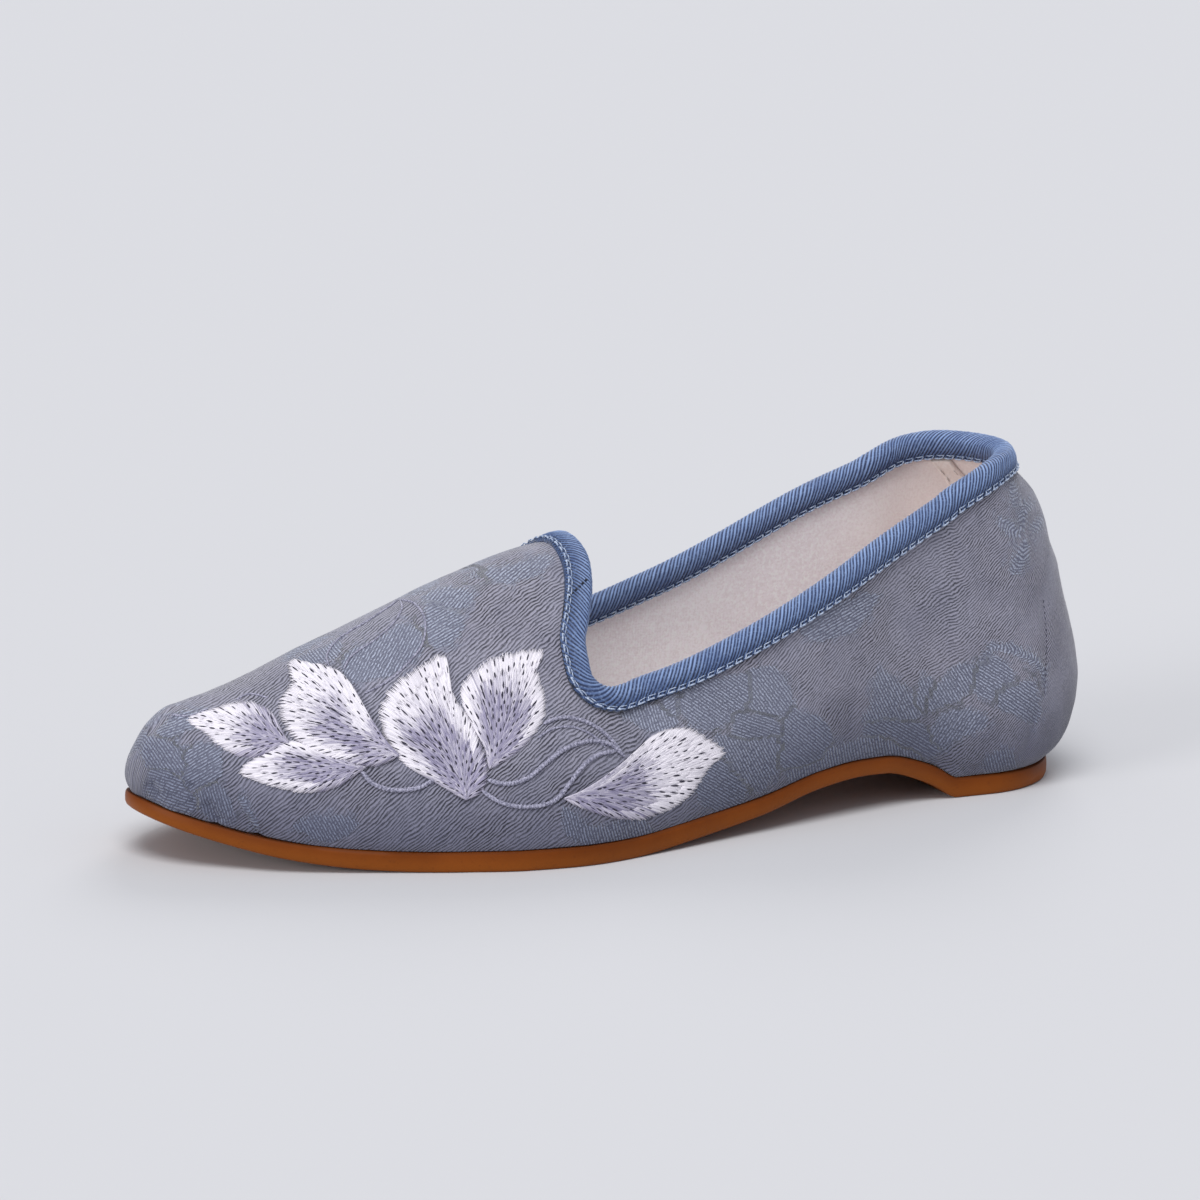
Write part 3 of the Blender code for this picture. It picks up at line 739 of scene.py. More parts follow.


def cloth_material():
    """Ribbed cotton with tone-on-tone jacquard.

    weave holds millimetres along and up the cloth, motif is above 0 inside a figure, flow holds
    millimetres across the figure's own threads, and rise millimetres up from the sole.
    """
    shade = Shade("cloth_blue_grey", 0.88, Sheen_Weight=0.42, Sheen_Roughness=0.35)
    weave = shade.attribute("weave", "Vector")
    field = shade.attribute("motif", "Fac")
    flow = shade.attribute("flow", "Fac")
    # Fine wavy lines that rise towards the heel, broken into dashes
    turned = shade.place(weave, (1.0, 1.0, 1.0), WEAVE_TILT)
    across = shade.part(turned, 1)
    along = shade.part(weave, 0)
    behind = shade.math("MINIMUM", shade.minus(along, WEAVE_STEEPER[0]), 0.0)
    steeper = shade.times(shade.times(behind, behind), 0.5 * WEAVE_STEEPER[1])
    across = shade.minus(across, steeper)
    wander = shade.times(shade.noise(weave, 0.16, 2.0), 20.0)
    quiver = shade.times(shade.noise(weave, 0.9, 2.0), 3.6)
    phase = shade.times(across, 2.0 * math.pi / WEAVE_PITCH)
    phase = shade.plus(shade.plus(phase, wander), quiver)
    line = shade.spread(shade.math("SINE", phase), -0.95, 0.55)
    dash = shade.noise(shade.place(weave, (0.55, 1.6, 1.0), WEAVE_TILT), 1.0, 2.0, 0.55)
    patchy = shade.spread(shade.noise(weave, 0.085, 2.0), 0.36, 0.62, 0.72, 1.0)
    depth = shade.times(shade.spread(dash, 0.30, 0.58, 0.50, 1.0), patchy)
    hollow = shade.times(shade.minus(1.0, line), depth)
    slit = shade.noise(shade.place(weave, (0.75, 2.6, 1.0), WEAVE_TILT), 1.0, 1.0, 0.5, 0.1)
    slits = shade.spread(slit, 0.67, 0.74)
    # Satin threads of the figures
    strand = shade.times(flow, 2.0 * math.pi / FIGURE_PITCH)
    strand = shade.plus(strand, shade.times(shade.noise(weave, 0.5, 2.0), 5.0))
    strand = shade.spread(shade.math("SINE", strand), -0.85, 0.75)
    gap = shade.noise(weave, 1.5, 2.0, 0.6)
    strand = shade.times(strand, shade.spread(gap, 0.38, 0.54, 0.10, 1.0))
    ragged = shade.minus(shade.noise(weave, 0.75, 3.0, 0.7), 0.5)
    edge = shade.plus(field, shade.times(ragged, 1.9))
    edge = shade.plus(edge, shade.times(strand, 0.22))
    figure = shade.spread(edge, -0.06, 0.50)
    stray = shade.spread(shade.noise(weave, 0.30, 2.0), 0.50, 0.60)
    halo = shade.times(stray, shade.spread(field, -1.3, -0.3, 0.0, 0.55))
    figure = shade.math("MAXIMUM", figure, halo)
    rim = shade.minus(shade.spread(edge, -0.14, 0.10), shade.spread(edge, 0.12, 0.42))
    ground = shade.mix(hollow, ink("ground ridge"), ink("ground hollow"))
    ground = shade.mix(shade.times(slits, 0.50), ground, ink("ground slit"))
    raised = shade.mix(strand, ink("figure hollow"), ink("figure ridge"))
    fleck = shade.spread(shade.noise(weave, 0.45, 3.0, 0.7), 0.54, 0.70)
    raised = shade.mix(shade.times(fleck, 0.40), raised, ink("figure fleck"))
    cloth = shade.mix(shade.times(figure, 0.78), ground, raised)
    cloth = shade.mix(shade.times(rim, 0.13), cloth, ink("figure rim"))
    broad = shade.noise(weave, 0.030, 3.0, 0.6)
    cloth = shade.mix(shade.spread(broad, 0.38, 0.66, 0.0, 0.16), cloth, ink("cloth pale patch"))
    smudge = shade.noise(weave, 0.075, 3.0, 0.6)
    cloth = shade.mix(shade.spread(smudge, 0.45, 0.66, 0.0, 0.16), cloth, ink("cloth dark patch"))
    # Painted shade: the cloth darkens towards the sole, where its lower side falls in shade
    low = shade.spread(shade.attribute("rise", "Fac"), LOW_CLOTH_SHADE[0], LOW_CLOTH_SHADE[1], 1.0, 0.0)
    cloth = shade.mix(low, cloth, ink("cloth low shade"), "MULTIPLY")
    shade.colour(cloth)
    relief = shade.minus(1.0, shade.times(hollow, 0.9))
    relief = shade.minus(relief, shade.times(slits, 0.5))
    on_figure = shade.plus(1.1, shade.times(strand, 0.7))
    relief = shade.add("ShaderNodeMix", {0: figure, 2: relief, 3: on_figure}).outputs[0]
    under = shade.bump(shade.noise(weave, 7.0, 2.0), 0.05 * MM, 0.5)
    shade.relief(shade.bump(relief, 0.26 * MM, 1.0, under))
    shade.gloss(shade.spread(figure, 0.0, 1.0, 0.90, 0.66))
    return shade.material


def lining_material(name, tint, deep):
    """Plain brushed cotton with a faint fleck."""
    shade = Shade(name, 0.92, Sheen_Weight=0.15, Sheen_Roughness=0.5)
    place = shade.position()
    fleck = shade.noise(place, 1500.0, 2.0, 0.6)
    cloudy = shade.noise(place, 55.0, 3.0, 0.55)
    cloth = shade.mix(shade.spread(cloudy, 0.35, 0.68), deep, tint)
    cloth = shade.mix(shade.spread(fleck, 0.40, 0.66, 0.0, 0.30), cloth, ink("lining fleck"))
    light = shade.noise(place, 1100.0, 2.0, 0.6)
    cloth = shade.mix(shade.spread(light, 0.46, 0.66, 0.0, 0.7), cloth, ink("lining light"))
    along = shade.part(place, 0)
    cloth = shade.mix(shade.spread(along, -0.108, -0.060, 0.6, 0.0), cloth, ink("lining heel"))
    shade.colour(cloth)
    warp = shade.add("ShaderNodeTexWave", {"Vector": place, "Scale": 420.0, "Distortion": 4.0},
                     bands_direction="X").outputs[1]
    weft = shade.add("ShaderNodeTexWave", {"Vector": place, "Scale": 420.0, "Distortion": 4.0},
                     bands_direction="Z").outputs[1]
    grain = shade.times(shade.plus(warp, weft), 0.5)
    shade.relief(shade.bump(grain, 0.06 * MM, 0.5, shade.bump(fleck, 0.12 * MM, 0.6)))
    return shade.material


def binding_material():
    """Ribbed tape: rib holds 0 in a valley and 1 on a rib. Painted shade darkens the valleys, and
    the legs towards their lower edges.
    """
    shade = Shade("binding_blue", 0.62, Sheen_Weight=0.25, Sheen_Roughness=0.35)
    rib = shade.attribute("rib", "Fac")
    place = shade.position()
    strands = shade.noise(place, 1900.0, 2.0, 0.6)
    cloudy = shade.noise(place, 120.0, 3.0, 0.6)
    # Painted shade: darker towards the lower edges of both legs, lighter at the fold on top
    up = shade.spread(shade.attribute("up", "Fac"), 0.15, 1.0)
    hollow = shade.mix(up, ink("binding low hollow shade"), ink("binding hollow shade"))
    ridge = shade.mix(up, ink("binding low ridge shade"), ink("binding ridge"))
    # Painted shade: the rib valleys are darker than the ribs
    tape = shade.mix(shade.spread(rib, 0.10, 0.92), hollow, ridge)
    tape = shade.mix(shade.spread(cloudy, 0.42, 0.66, 0.0, 0.36), tape, ink("binding cloud"))
    tape = shade.mix(shade.spread(strands, 0.50, 0.70, 0.0, 0.28), tape, ink("binding strand"))
    shade.colour(tape)
    shade.relief(shade.bump(strands, 0.10 * MM, 0.7))
    return shade.material


def floss_material():
    """Silk floss: tone runs from 0, white, to 1, lilac, and vary differs from stitch to stitch."""
    shade = Shade("floss", 0.46, Sheen_Weight=0.30, Sheen_Roughness=0.30)
    tone = shade.attribute("tone", "Fac")
    vary = shade.attribute("vary", "Fac")
    silk = shade.mix(tone, ink("floss white"), ink("floss lilac"))
    streak = shade.times(vary, shade.spread(tone, 0.0, 1.0, 0.26, 0.62))
    silk = shade.mix(streak, silk, ink("floss streak"))
    shade.colour(silk)
    strands = shade.noise(shade.position(), 2600.0, 2.0, 0.6)
    shade.relief(shade.bump(strands, 0.06 * MM, 0.6))
    return shade.material


def thread_material(name, light, dark, roughness=0.6):
    """Twisted thread or cord, a little darker in its hollows."""
    shade = Shade(name, roughness, Sheen_Weight=0.2)
    place = shade.position()
    strands = shade.noise(place, 2400.0, 2.0, 0.6)
    shade.colour(shade.mix(shade.spread(strands, 0.35, 0.65), dark, light))
    shade.relief(shade.bump(strands, 0.08 * MM, 0.7))
    return shade.material


def rubber_material():
    """Gum rubber, lighter towards the wall's lower edge, a little dusty, with painted shade along
    its top edge under the cloth.
    """
    shade = Shade("gum_rubber", 0.50, Specular_IOR_Level=0.14)
    place = shade.position()
    share = shade.attribute("share", "Fac")
    cloudy = shade.noise(place, 38.0, 4.0, 0.6)
    fine = shade.noise(place, 900.0, 3.0, 0.6)
    gum = shade.mix(shade.spread(cloudy, 0.35, 0.68), ink("gum deep"), ink("gum"))
    gum = shade.mix(shade.spread(share, 0.10, 0.95, 0.55, 0.0), gum, ink("gum low"))
    # Painted shade: the rounded top edge, under the cloth's swell, is darker
    gum = shade.mix(shade.spread(share, 0.86, 0.97, 0.0, 0.35), gum, ink("gum top shade"))
    gum = shade.mix(shade.spread(fine, 0.58, 0.75, 0.0, 0.30), gum, ink("gum dust"))
    shade.colour(gum)
    shade.gloss(shade.spread(cloudy, 0.3, 0.7, 0.42, 0.60))
    shade.relief(shade.bump(fine, 0.05 * MM, 0.5, shade.bump(cloudy, 0.5 * MM, 0.25)))
    return shade.material


def plain_material(name, colour, roughness):
    shade = Shade(name, roughness)
    grain = shade.noise(shade.position(), 700.0, 2.0)
    shade.colour(shade.mix(shade.spread(grain, 0.3, 0.7, 0.0, 0.12), colour, ink("plain fleck")))
    return shade.material


# Meshes


def object_from(name, verts, faces, materials, smooth_angle=None):
    mesh = bpy.data.meshes.new(name)
    mesh.from_pydata([tuple(v) for v in verts], [], [tuple(f) for f in faces])
    for material in materials:
        mesh.materials.append(material)
    mesh.shade_smooth()
    if smooth_angle is not None:
        mesh.set_sharp_from_angle(angle=math.radians(smooth_angle))
    made = bpy.data.objects.new(name, mesh)
    bpy.context.collection.objects.link(made)
    return made


def face_outwards(made):
    work = bmesh.new()
    work.from_mesh(made.data)
    bmesh.ops.recalc_face_normals(work, faces=work.faces)
    work.to_mesh(made.data)
    work.free()


def give(made, name, values, kind="FLOAT", where="POINT", field="value"):
    """A named value at each vertex or face corner, for the material to read."""
    layer = made.data.attributes.new(name, kind, where)
    layer.data.foreach_set(field, np.asarray(values, dtype=np.float32).ravel())


def closed_sheet(top, bottom):
    """Vertices and faces of a closed sheet between two grids of points."""
    columns, rows = top.shape[:2]
    number = columns * rows
    faces = []
    for i in range(columns - 1):
        for j in range(rows - 1):
            faces.append([(i + a) * rows + j + b for a, b in SQUARE])
    faces += [[v + number for v in face[::-1]] for face in faces]
    border = [i * rows for i in range(columns)]
    border += [(columns - 1) * rows + j for j in range(1, rows)]
    border += [i * rows + rows - 1 for i in range(columns - 2, -1, -1)]
    border += list(range(rows - 2, 0, -1))
    for a, b in zip(border, border[1:] + border[:1]):
        faces.append([b, a, a + number, b + number])
    return np.concatenate([top.reshape(-1, 3), bottom.reshape(-1, 3)]), faces


def ride(made, slot, *nodes):
    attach(made, "root")
    if nodes:
        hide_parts(*nodes)


def threads(paths, normals, wide, high, sides=6, ends=0.35):
    """Closed strands along paths, flattened on the cloth, with ends that taper to a share."""
    paths, normals = np.asarray(paths), np.asarray(normals)
    count, length = paths.shape[:2]
    along_path = np.gradient(paths, axis=1)
    along_path /= np.linalg.norm(along_path, axis=2, keepdims=True)
    sideways = np.cross(normals, along_path)
    sideways /= np.linalg.norm(sideways, axis=2, keepdims=True)
    upright = np.cross(along_path, sideways)
    t = np.linspace(-1.0, 1.0, length)
    taper = ends + (1.0 - ends) * (1.0 - t**4)
    wide = np.broadcast_to(np.asarray(wide, float).reshape(-1, 1), (count, length)) * taper
    high = np.broadcast_to(np.asarray(high, float).reshape(-1, 1), (count, length)) * taper
    rings = []
    for side in range(sides):
        angle = 2.0 * math.pi * (side + 0.5) / sides
        rings.append(
            paths + sideways * (wide * math.cos(angle))[..., None]
            + upright * (high * math.sin(angle))[..., None]
        )
    rings = np.stack(rings, 2)
    verts = rings.reshape(-1, 3)
    base = (np.arange(count) * length * sides)[:, None, None]
    ring = (np.arange(length - 1) * sides)[None, :, None]
    a = np.arange(sides)[None, None, :]
    b = (a + 1) % sides
    quads = np.stack(np.broadcast_arrays(
        base + ring + a, base + ring + b, base + ring + sides + b, base + ring + sides + a
    ), -1).reshape(-1, 4)
    first = np.arange(count)[:, None] * length * sides + np.arange(sides)[::-1]
    last = np.arange(count)[:, None] * length * sides + (length - 1) * sides + np.arange(sides)
    return verts, quads.tolist() + first.tolist() + last.tolist()


def through(points, count):
    """Evenly spaced points on a smooth curve through a few points."""
    points = np.asarray(points, float)
    if len(points) == 2:
        dense = points[0] + (points[1] - points[0]) * np.linspace(0, 1, 32)[:, None]
    else:
        first, last = 2 * points[0] - points[1], 2 * points[-1] - points[-2]
        padded = np.concatenate([[first], points, [last]])
        dense = []
        for p, q, r, s in zip(padded, padded[1:], padded[2:], padded[3:]):
            t = np.linspace(0.0, 1.0, 24, endpoint=False)[:, None]
            dense.append(0.5 * (
                2 * q + (r - p) * t + (2 * p - 5 * q + 4 * r - s) * t**2
                + (3 * q - p - 3 * r + s) * t**3
            ))
        dense = np.concatenate(dense + [points[-1:]])
    reach = np.concatenate([[0.0], np.cumsum(np.linalg.norm(np.diff(dense, axis=0), axis=1))])
    even = np.linspace(0.0, reach[-1], count)
    return np.stack([np.interp(even, reach, dense[:, i]) for i in range(dense.shape[1])], -1)


def from_line(points, line):
    """Distance of points from a line of pixels, and the share of the way along it."""
    line = np.asarray(line, float)
    legs = np.diff(line, axis=0)
    lengths = np.linalg.norm(legs, axis=1)
    best, where = np.full(len(points), 1e9), np.zeros(len(points))
    start = 0.0
    for p, leg, length in zip(line, legs, lengths):
        t = np.clip((points - p) @ leg / length**2, 0.0, 1.0)
        gap = np.linalg.norm(points - p - t[:, None] * leg, axis=1)
        nearer = gap < best
        best = np.where(nearer, gap, best)
        where = np.where(nearer, (start + t * length) / lengths.sum(), where)
        start += length
    return best, where


# Areas woven into the cloth: how steeply their threads run down to the right, in degrees, and
# their outline, in pixels of the photograph
AREAS = (
    # The rose under the topline
    (35, ((684, 690), (714, 681), (746, 677), (752, 692), (735, 716), (706, 728), (684, 714))),
    (52, ((751, 674), (773, 670), (788, 688), (790, 709), (769, 715), (751, 700))),
    (20, ((740, 711), (764, 717), (781, 733), (760, 739), (738, 731))),
    (40, ((792, 708), (824, 725), (828, 750), (808, 767), (784, 763), (783, 737))),
    (62, ((720, 735), (748, 739), (779, 742), (778, 766), (761, 789), (746, 777), (727, 758))),
    (30, ((700, 782), (718, 764), (741, 783), (739, 797), (724, 807), (699, 797))),
    (70, ((626, 713), (656, 704), (674, 718), (650, 728))),
    (-35, ((662, 698), (682, 690), (680, 708), (668, 712))),
    # A leaf beside the topline
    (-30, ((806, 627), (822, 613), (848, 600), (874, 596), (868, 614), (846, 631), (824, 640))),
    # Leaves and the scroll on the heel
    (64, ((883, 674), (903, 689), (918, 708), (906, 722), (886, 718), (867, 723), (872, 703))),
    (30, ((867, 725), (890, 720), (913, 728), (939, 744), (930, 753), (907, 744), (887, 733),
          (868, 735))),
    (80, ((838, 752), (856, 743), (876, 739), (895, 748), (918, 757), (900, 763), (870, 765),
          (844, 770))),
    (66, ((923, 682), (931, 680), (926, 700), (919, 708))),
    (58, ((941, 686), (953, 671), (974, 664), (976, 678), (966, 693), (946, 702), (929, 711),
          (930, 700))),
    (-55, ((946, 716), (964, 709), (982, 714), (982, 725), (960, 735), (946, 745), (930, 744),
           (934, 728))),
    (32, ((973, 668), (990, 660), (1011, 674), (1005, 685), (993, 696), (978, 690), (972, 679))),
    (35, ((998, 696), (1015, 689), (1029, 684), (1037, 697), (1033, 721), (1018, 712),
          (1005, 707))),
    (75, ((986, 767), (1000, 756), (1011, 759), (1008, 770))),
    # The band along the sole
    (80, ((790, 768), (812, 758), (838, 749), (836, 765), (812, 776), (793, 781))),
    (75, ((566, 812), (590, 830), (624, 824), (652, 830), (628, 842), (590, 844), (568, 836))),
    # Leaves on the vamp
    (-30, ((427, 605), (444, 608), (460, 618), (463, 627), (448, 639), (432, 642), (424, 626))),
    (-48, ((424, 600), (444, 589), (470, 595), (460, 606), (440, 608))),
    (-62, ((348, 655), (374, 643), (400, 630), (419, 637), (412, 654), (396, 668), (373, 677),
           (350, 674))),
    (-40, ((488, 574), (520, 562), (548, 556), (536, 570), (506, 581))),
    (50, ((298, 664), (318, 650), (338, 640), (334, 652), (314, 662))),
    # The rose on the toe
    (55, ((140, 746), (160, 739), (177, 752), (185, 768), (170, 773), (150, 765))),
    (-30, ((184, 759), (200, 751), (217, 753), (220, 768), (204, 784), (188, 787), (183, 773))),
    (20, ((149, 783), (160, 771), (177, 778), (189, 791), (194, 806), (183, 812), (165, 805),
          (153, 795))),
    (74, ((200, 794), (216, 788), (228, 806), (224, 822), (207, 813))),
    (-20, ((158, 730), (180, 716), (210, 712), (196, 724), (172, 734))),
    (60, ((300, 828), (322, 816), (352, 822), (340, 832), (316, 836))),
)
AREA_EDGE = 7.0    # pixels over which an area's edge counts
AREA_MARGIN = 5.0  # pixels that an area reaches past its outline, so that neighbours close up

# Strokes woven into the cloth: half width and line, in pixels of the photograph
STROKES = (
    # The scroll on the heel
    (6, ((975, 672), (980, 658), (995, 649), (1013, 648), (1028, 658), (1041, 674), (1046, 690))),
    # A small flower high on the heel
    (7, ((1022, 534), (1008, 525), (998, 515))),
    (6, ((1020, 530), (1024, 512), (1034, 500))),
    (8, ((1024, 540), (1020, 556), (1014, 574))),
    (6, ((1030, 536), (1036, 528), (1042, 516))),
    (5, ((1010, 480), (1014, 494), (1016, 508))),
    # Stems on the vamp and the toe
    (4, ((458, 578), (474, 575), (490, 579))),
    (4, ((168, 724), (176, 738), (178, 750), (196, 753), (212, 751))),
    (5, ((236, 792), (248, 808), (256, 834))),
)
STROKE_SLANT = (0.6, 0.8)  # how the threads cross a stroke: shares across and along it
FAR_OUTSIDE = -1.5         # the field's value away from the figures


# Soft troughs pressed into the cloth: depth in mm, half width in pixels, line in pixels
TROUGHS = (
    (0.50, 3.2, ((1043, 598), (1046, 640), (1045, 670), (1044, 696))),
    (0.55, 3.6, ((1040, 704), (1034, 720), (1030, 738), (1024, 758))),
    (0.75, 5.0, ((188, 780), (194, 796), (194, 812))),
    (0.85, 5.5, ((204, 800), (212, 812), (222, 826))),
    (0.65, 4.5, ((240, 812), (252, 826), (262, 840))),
    (0.65, 4.5, ((149, 781), (155, 790), (160, 798))),
    (0.60, 4.5, ((168, 776), (180, 784), (188, 794))),
    (0.50, 5.0, ((148, 738), (160, 724), (180, 716))),
    (0.40, 4.0, ((924, 762), (942, 764), (962, 768), (984, 770))),
    (0.30, 7.0, ((610, 700), (640, 726), (652, 756))),
    (0.25, 8.0, ((880, 620), (930, 640), (970, 690))),
    (0.22, 9.0, ((560, 640), (530, 660), (520, 690))),
)

UNEVEN = (17.0, 5.5)              # mm across the cloth's broad and fine unevenness
UNEVEN_HIGH = (0.20, 0.09, 0.16)  # mm: broad, fine, and what the toe adds to the fine
TOE_FROM = (0.76, 0.12)           # turns at which the toe's rumpled cloth begins
HEEL_FROM = (0.17, 0.08)          # and the heel's ends
PLEAT_HIGH = 0.14                 # mm of small pleats drawn in along the sole
PLEAT_REACH = 5.5                 # mm above the sole
WARPS = ((34.0, 6.0), (11.0, 2.6))  # pixels across, and pixels pushed
ARC_COLUMNS, ARC_ROWS = 240, 120


def section_arcs():
    """Length of the section's curve from the foot, on a grid of turns and lifts."""
    turns, lifts = np.meshgrid(
        np.linspace(0.001, 0.999, ARC_COLUMNS), np.linspace(0.0, 0.5 * math.pi, ARC_ROWS),
        indexing="ij",
    )
    points = last_point(turns, lifts)
    steps = np.linalg.norm(np.diff(points, axis=1), axis=2)
    return np.concatenate([np.zeros((ARC_COLUMNS, 1)), np.cumsum(steps, axis=1)], axis=1)


def cloth_chart(turn, lift):
    """Millimetres down from the ridge; behind the throat, from the throat's height."""
    arcs = section_arcs()
    peak = float(topline(1)[0][-1])
    grid = np.linspace(0.001, 0.999, ARC_COLUMNS)
    total = arcs[:, -1]
    total = np.where(grid < peak, np.interp(peak, grid, total), total)
    column = np.clip(np.abs(turn), 0.001, 0.999) * (ARC_COLUMNS - 1)
    row = np.clip(lift / (0.5 * math.pi), 0.0, 1.0) * (ARC_ROWS - 1)
    i = np.minimum(column.astype(int), ARC_COLUMNS - 2)
    j = np.minimum(row.astype(int), ARC_ROWS - 2)
    s, t = column - i, row - j
    up = (
        arcs[i, j] * (1 - s) * (1 - t) + arcs[i + 1, j] * s * (1 - t)
        + arcs[i, j + 1] * (1 - s) * t + arcs[i + 1, j + 1] * s * t
    )
    return (total[i] * (1 - s) + total[i + 1] * s - up) / MM


def warped(pixels):
    """Pixels pushed about by soft noise, so that the figures' edges look woven, not drawn."""
    out = np.array(pixels)
    for k, (across, down) in enumerate(pixels):
        for scale, size in WARPS:
            out[k, 0] += size * noise.noise((across / scale, down / scale, 3.1))
            out[k, 1] += size * noise.noise((across / scale, down / scale, 9.7))
    return out


def inside_outline(points, outline):
    """Which points lie inside a closed outline."""
    across, down = points[:, 0], points[:, 1]
    inside = np.zeros(len(points), bool)
    for (x0, y0), (x1, y1) in zip(outline, np.roll(outline, -1, axis=0)):
        if y0 != y1:
            level = (y0 > down) != (y1 > down)
            inside ^= level & (across < x0 + (x1 - x0) * (down - y0) / (y1 - y0))
    return inside


def figure_field(pixels):
    """Above 0 inside a woven figure, and millimetres across the threads that fill it."""
    field, flow = np.full(len(pixels), FAR_OUTSIDE), np.zeros(len(pixels))
    straight = pixels
    pixels = warped(pixels)
    for slope, outline in AREAS:
        ring = through(list(outline) + [outline[0]], 40)
        gap = from_line(pixels, ring)[0]
        inside = (np.where(inside_outline(pixels, ring[:-1]), gap, -gap) + AREA_MARGIN) / AREA_EDGE
        way = math.radians(slope)
        across = straight[:, 1] * math.cos(way) - straight[:, 0] * math.sin(way)
        flow = np.where(inside > field, across * PIXEL / MM, flow)
        field = np.maximum(field, inside)
    for half, line in STROKES:
        path = through(line, 14)
        gap, where = from_line(pixels, path)
        length = np.linalg.norm(np.diff(path, axis=0), axis=1).sum()
        wide = half * (0.35 + 0.65 * np.sqrt(np.clip(np.sin(math.pi * where), 0.0, 1.0)))
        inside = (wide - gap) / AREA_EDGE
        across = STROKE_SLANT[0] * gap + STROKE_SLANT[1] * where * length
        flow = np.where(inside > field, across * PIXEL / MM, flow)
        field = np.maximum(field, inside)
    return field, flow


def cloth_relief(turn, lift, points, pixels):
    """Height of the cloth over the last: its soft unevenness, pleats drawn in, and troughs."""
    toe = smooth((np.abs(turn) - TOE_FROM[0]) / TOE_FROM[1])
    broad, fine = (
        np.array([noise.noise(Vector(p) / (size * MM)) for p in points]) for size in UNEVEN
    )
    height = (UNEVEN_HIGH[0] * broad + (UNEVEN_HIGH[1] + UNEVEN_HIGH[2] * toe) * fine) * MM
    for depth, half, line in TROUGHS:
        gap, where = from_line(pixels, through(line, 16))
        ends = smooth(where / 0.2) * smooth((1.0 - where) / 0.2)
        height -= np.where(turn > 0, depth * MM * ends * np.exp(-((gap / half) ** 2)), 0.0)
    rise = last_point(turn, lift)[:, 2] - last_point(turn, np.zeros_like(lift))[:, 2]
    low = np.exp(-((rise / (PLEAT_REACH * MM)) ** 2))
    heel = smooth((HEEL_FROM[0] - np.abs(turn)) / HEEL_FROM[1])
    pleats = np.sin(np.abs(turn) * 150.0) + 0.6 * np.sin(np.abs(turn) * 67.0 + 1.0)
    return height - PLEAT_HIGH * MM * low * (toe + 0.5 * heel) * (0.8 + 0.5 * pleats)


HEEL_CENTRE = (0.034, 0.0)  # where the heel's round back begins, and its middle
LINING_RUMPLE = 0.30 * MM   # how far the lining comes in off the wall
RUMPLES = 42.0              # rumples in a metre


def make_upper(cloth, lining):
    """The upper as one closed wall: cloth outside, lining inside."""
    cells, faces, top, foot = upper_sheet()
    turn, lift = cells[:, 0], cells[:, 1]
    points = last_point(turn, lift)
    normal = last_normal(turn, lift)
    normal[-1] = (1.0, 0.0, 0.0)
    mirrored = last_point(np.abs(turn), lift) - CENTRE
    pixels = to_photo(mirrored)
    relief = cloth_relief(turn, lift, points, pixels)
    rim = np.zeros(len(cells), bool)
    rim[top] = True
    relief = np.where(rim, 0.0, relief)
    outer = points + normal * relief[:, None]
    rumple = np.array([noise.noise(Vector(p) * RUMPLES) for p in points])
    inner = points - normal * (WALL + LINING_RUMPLE * np.clip(rumple, 0.0, 1.0))[:, None]
    count = len(outer)
    solid = list(faces) + [[v + count for v in face[::-1]] for face in faces]
    for loop in (top, foot):
        for a, b in zip(loop, loop[1:] + loop[:1]):
            solid.append([a, b, b + count, a + count])
    verts = np.concatenate([outer, inner]) - CENTRE
    upper = object_from("upper_cloth", verts, solid, [cloth, lining])
    inside = np.zeros(len(solid), dtype=np.int32)
    inside[len(faces):] = 1
    upper.data.polygons.foreach_set("material_index", inside)
    face_outwards(upper)
    down = cloth_chart(turn, lift)
    data = upper.data
    corner = np.zeros(len(data.loops), dtype=np.int32)
    data.loops.foreach_get("vertex_index", corner)
    corner %= count
    sizes = np.zeros(len(data.polygons), dtype=np.int32)
    data.polygons.foreach_get("loop_total", sizes)
    starts = np.concatenate([[0], np.cumsum(sizes)[:-1]])
    side = np.sign(np.add.reduceat(turn[corner] * (np.abs(turn[corner]) < 0.9999), starts))
    side = np.repeat(side, sizes)
    # Round the back of the heel the way along the cloth is an arc's length
    behind = np.maximum(HEEL_CENTRE[0] - points[:, 0], 0.0)
    aside = np.abs(points[:, 1] - HEEL_CENTRE[1])
    arc = np.hypot(behind, aside) * np.arctan2(behind, np.maximum(aside, 1e-9))
    ahead = np.where(behind > 0.0, HEEL_CENTRE[0] - arc, points[:, 0]) / MM
    chart = np.stack([ahead[corner], -side * down[corner], np.zeros(len(corner))], -1)
    give(upper, "weave", chart, "FLOAT_VECTOR", "CORNER", "vector")
    field, flow = figure_field(pixels)
    give(upper, "motif", np.concatenate([field, field]))
    give(upper, "flow", np.concatenate([flow, flow]))
    rise = (points[:, 2] - last_point(turn, np.zeros_like(lift))[:, 2]) / MM
    give(upper, "rise", np.concatenate([rise, rise]))
    ride(upper, "upper_cloth", "upper")
    return BVHTree.FromPolygons([Vector(v) for v in verts[:count]], faces)


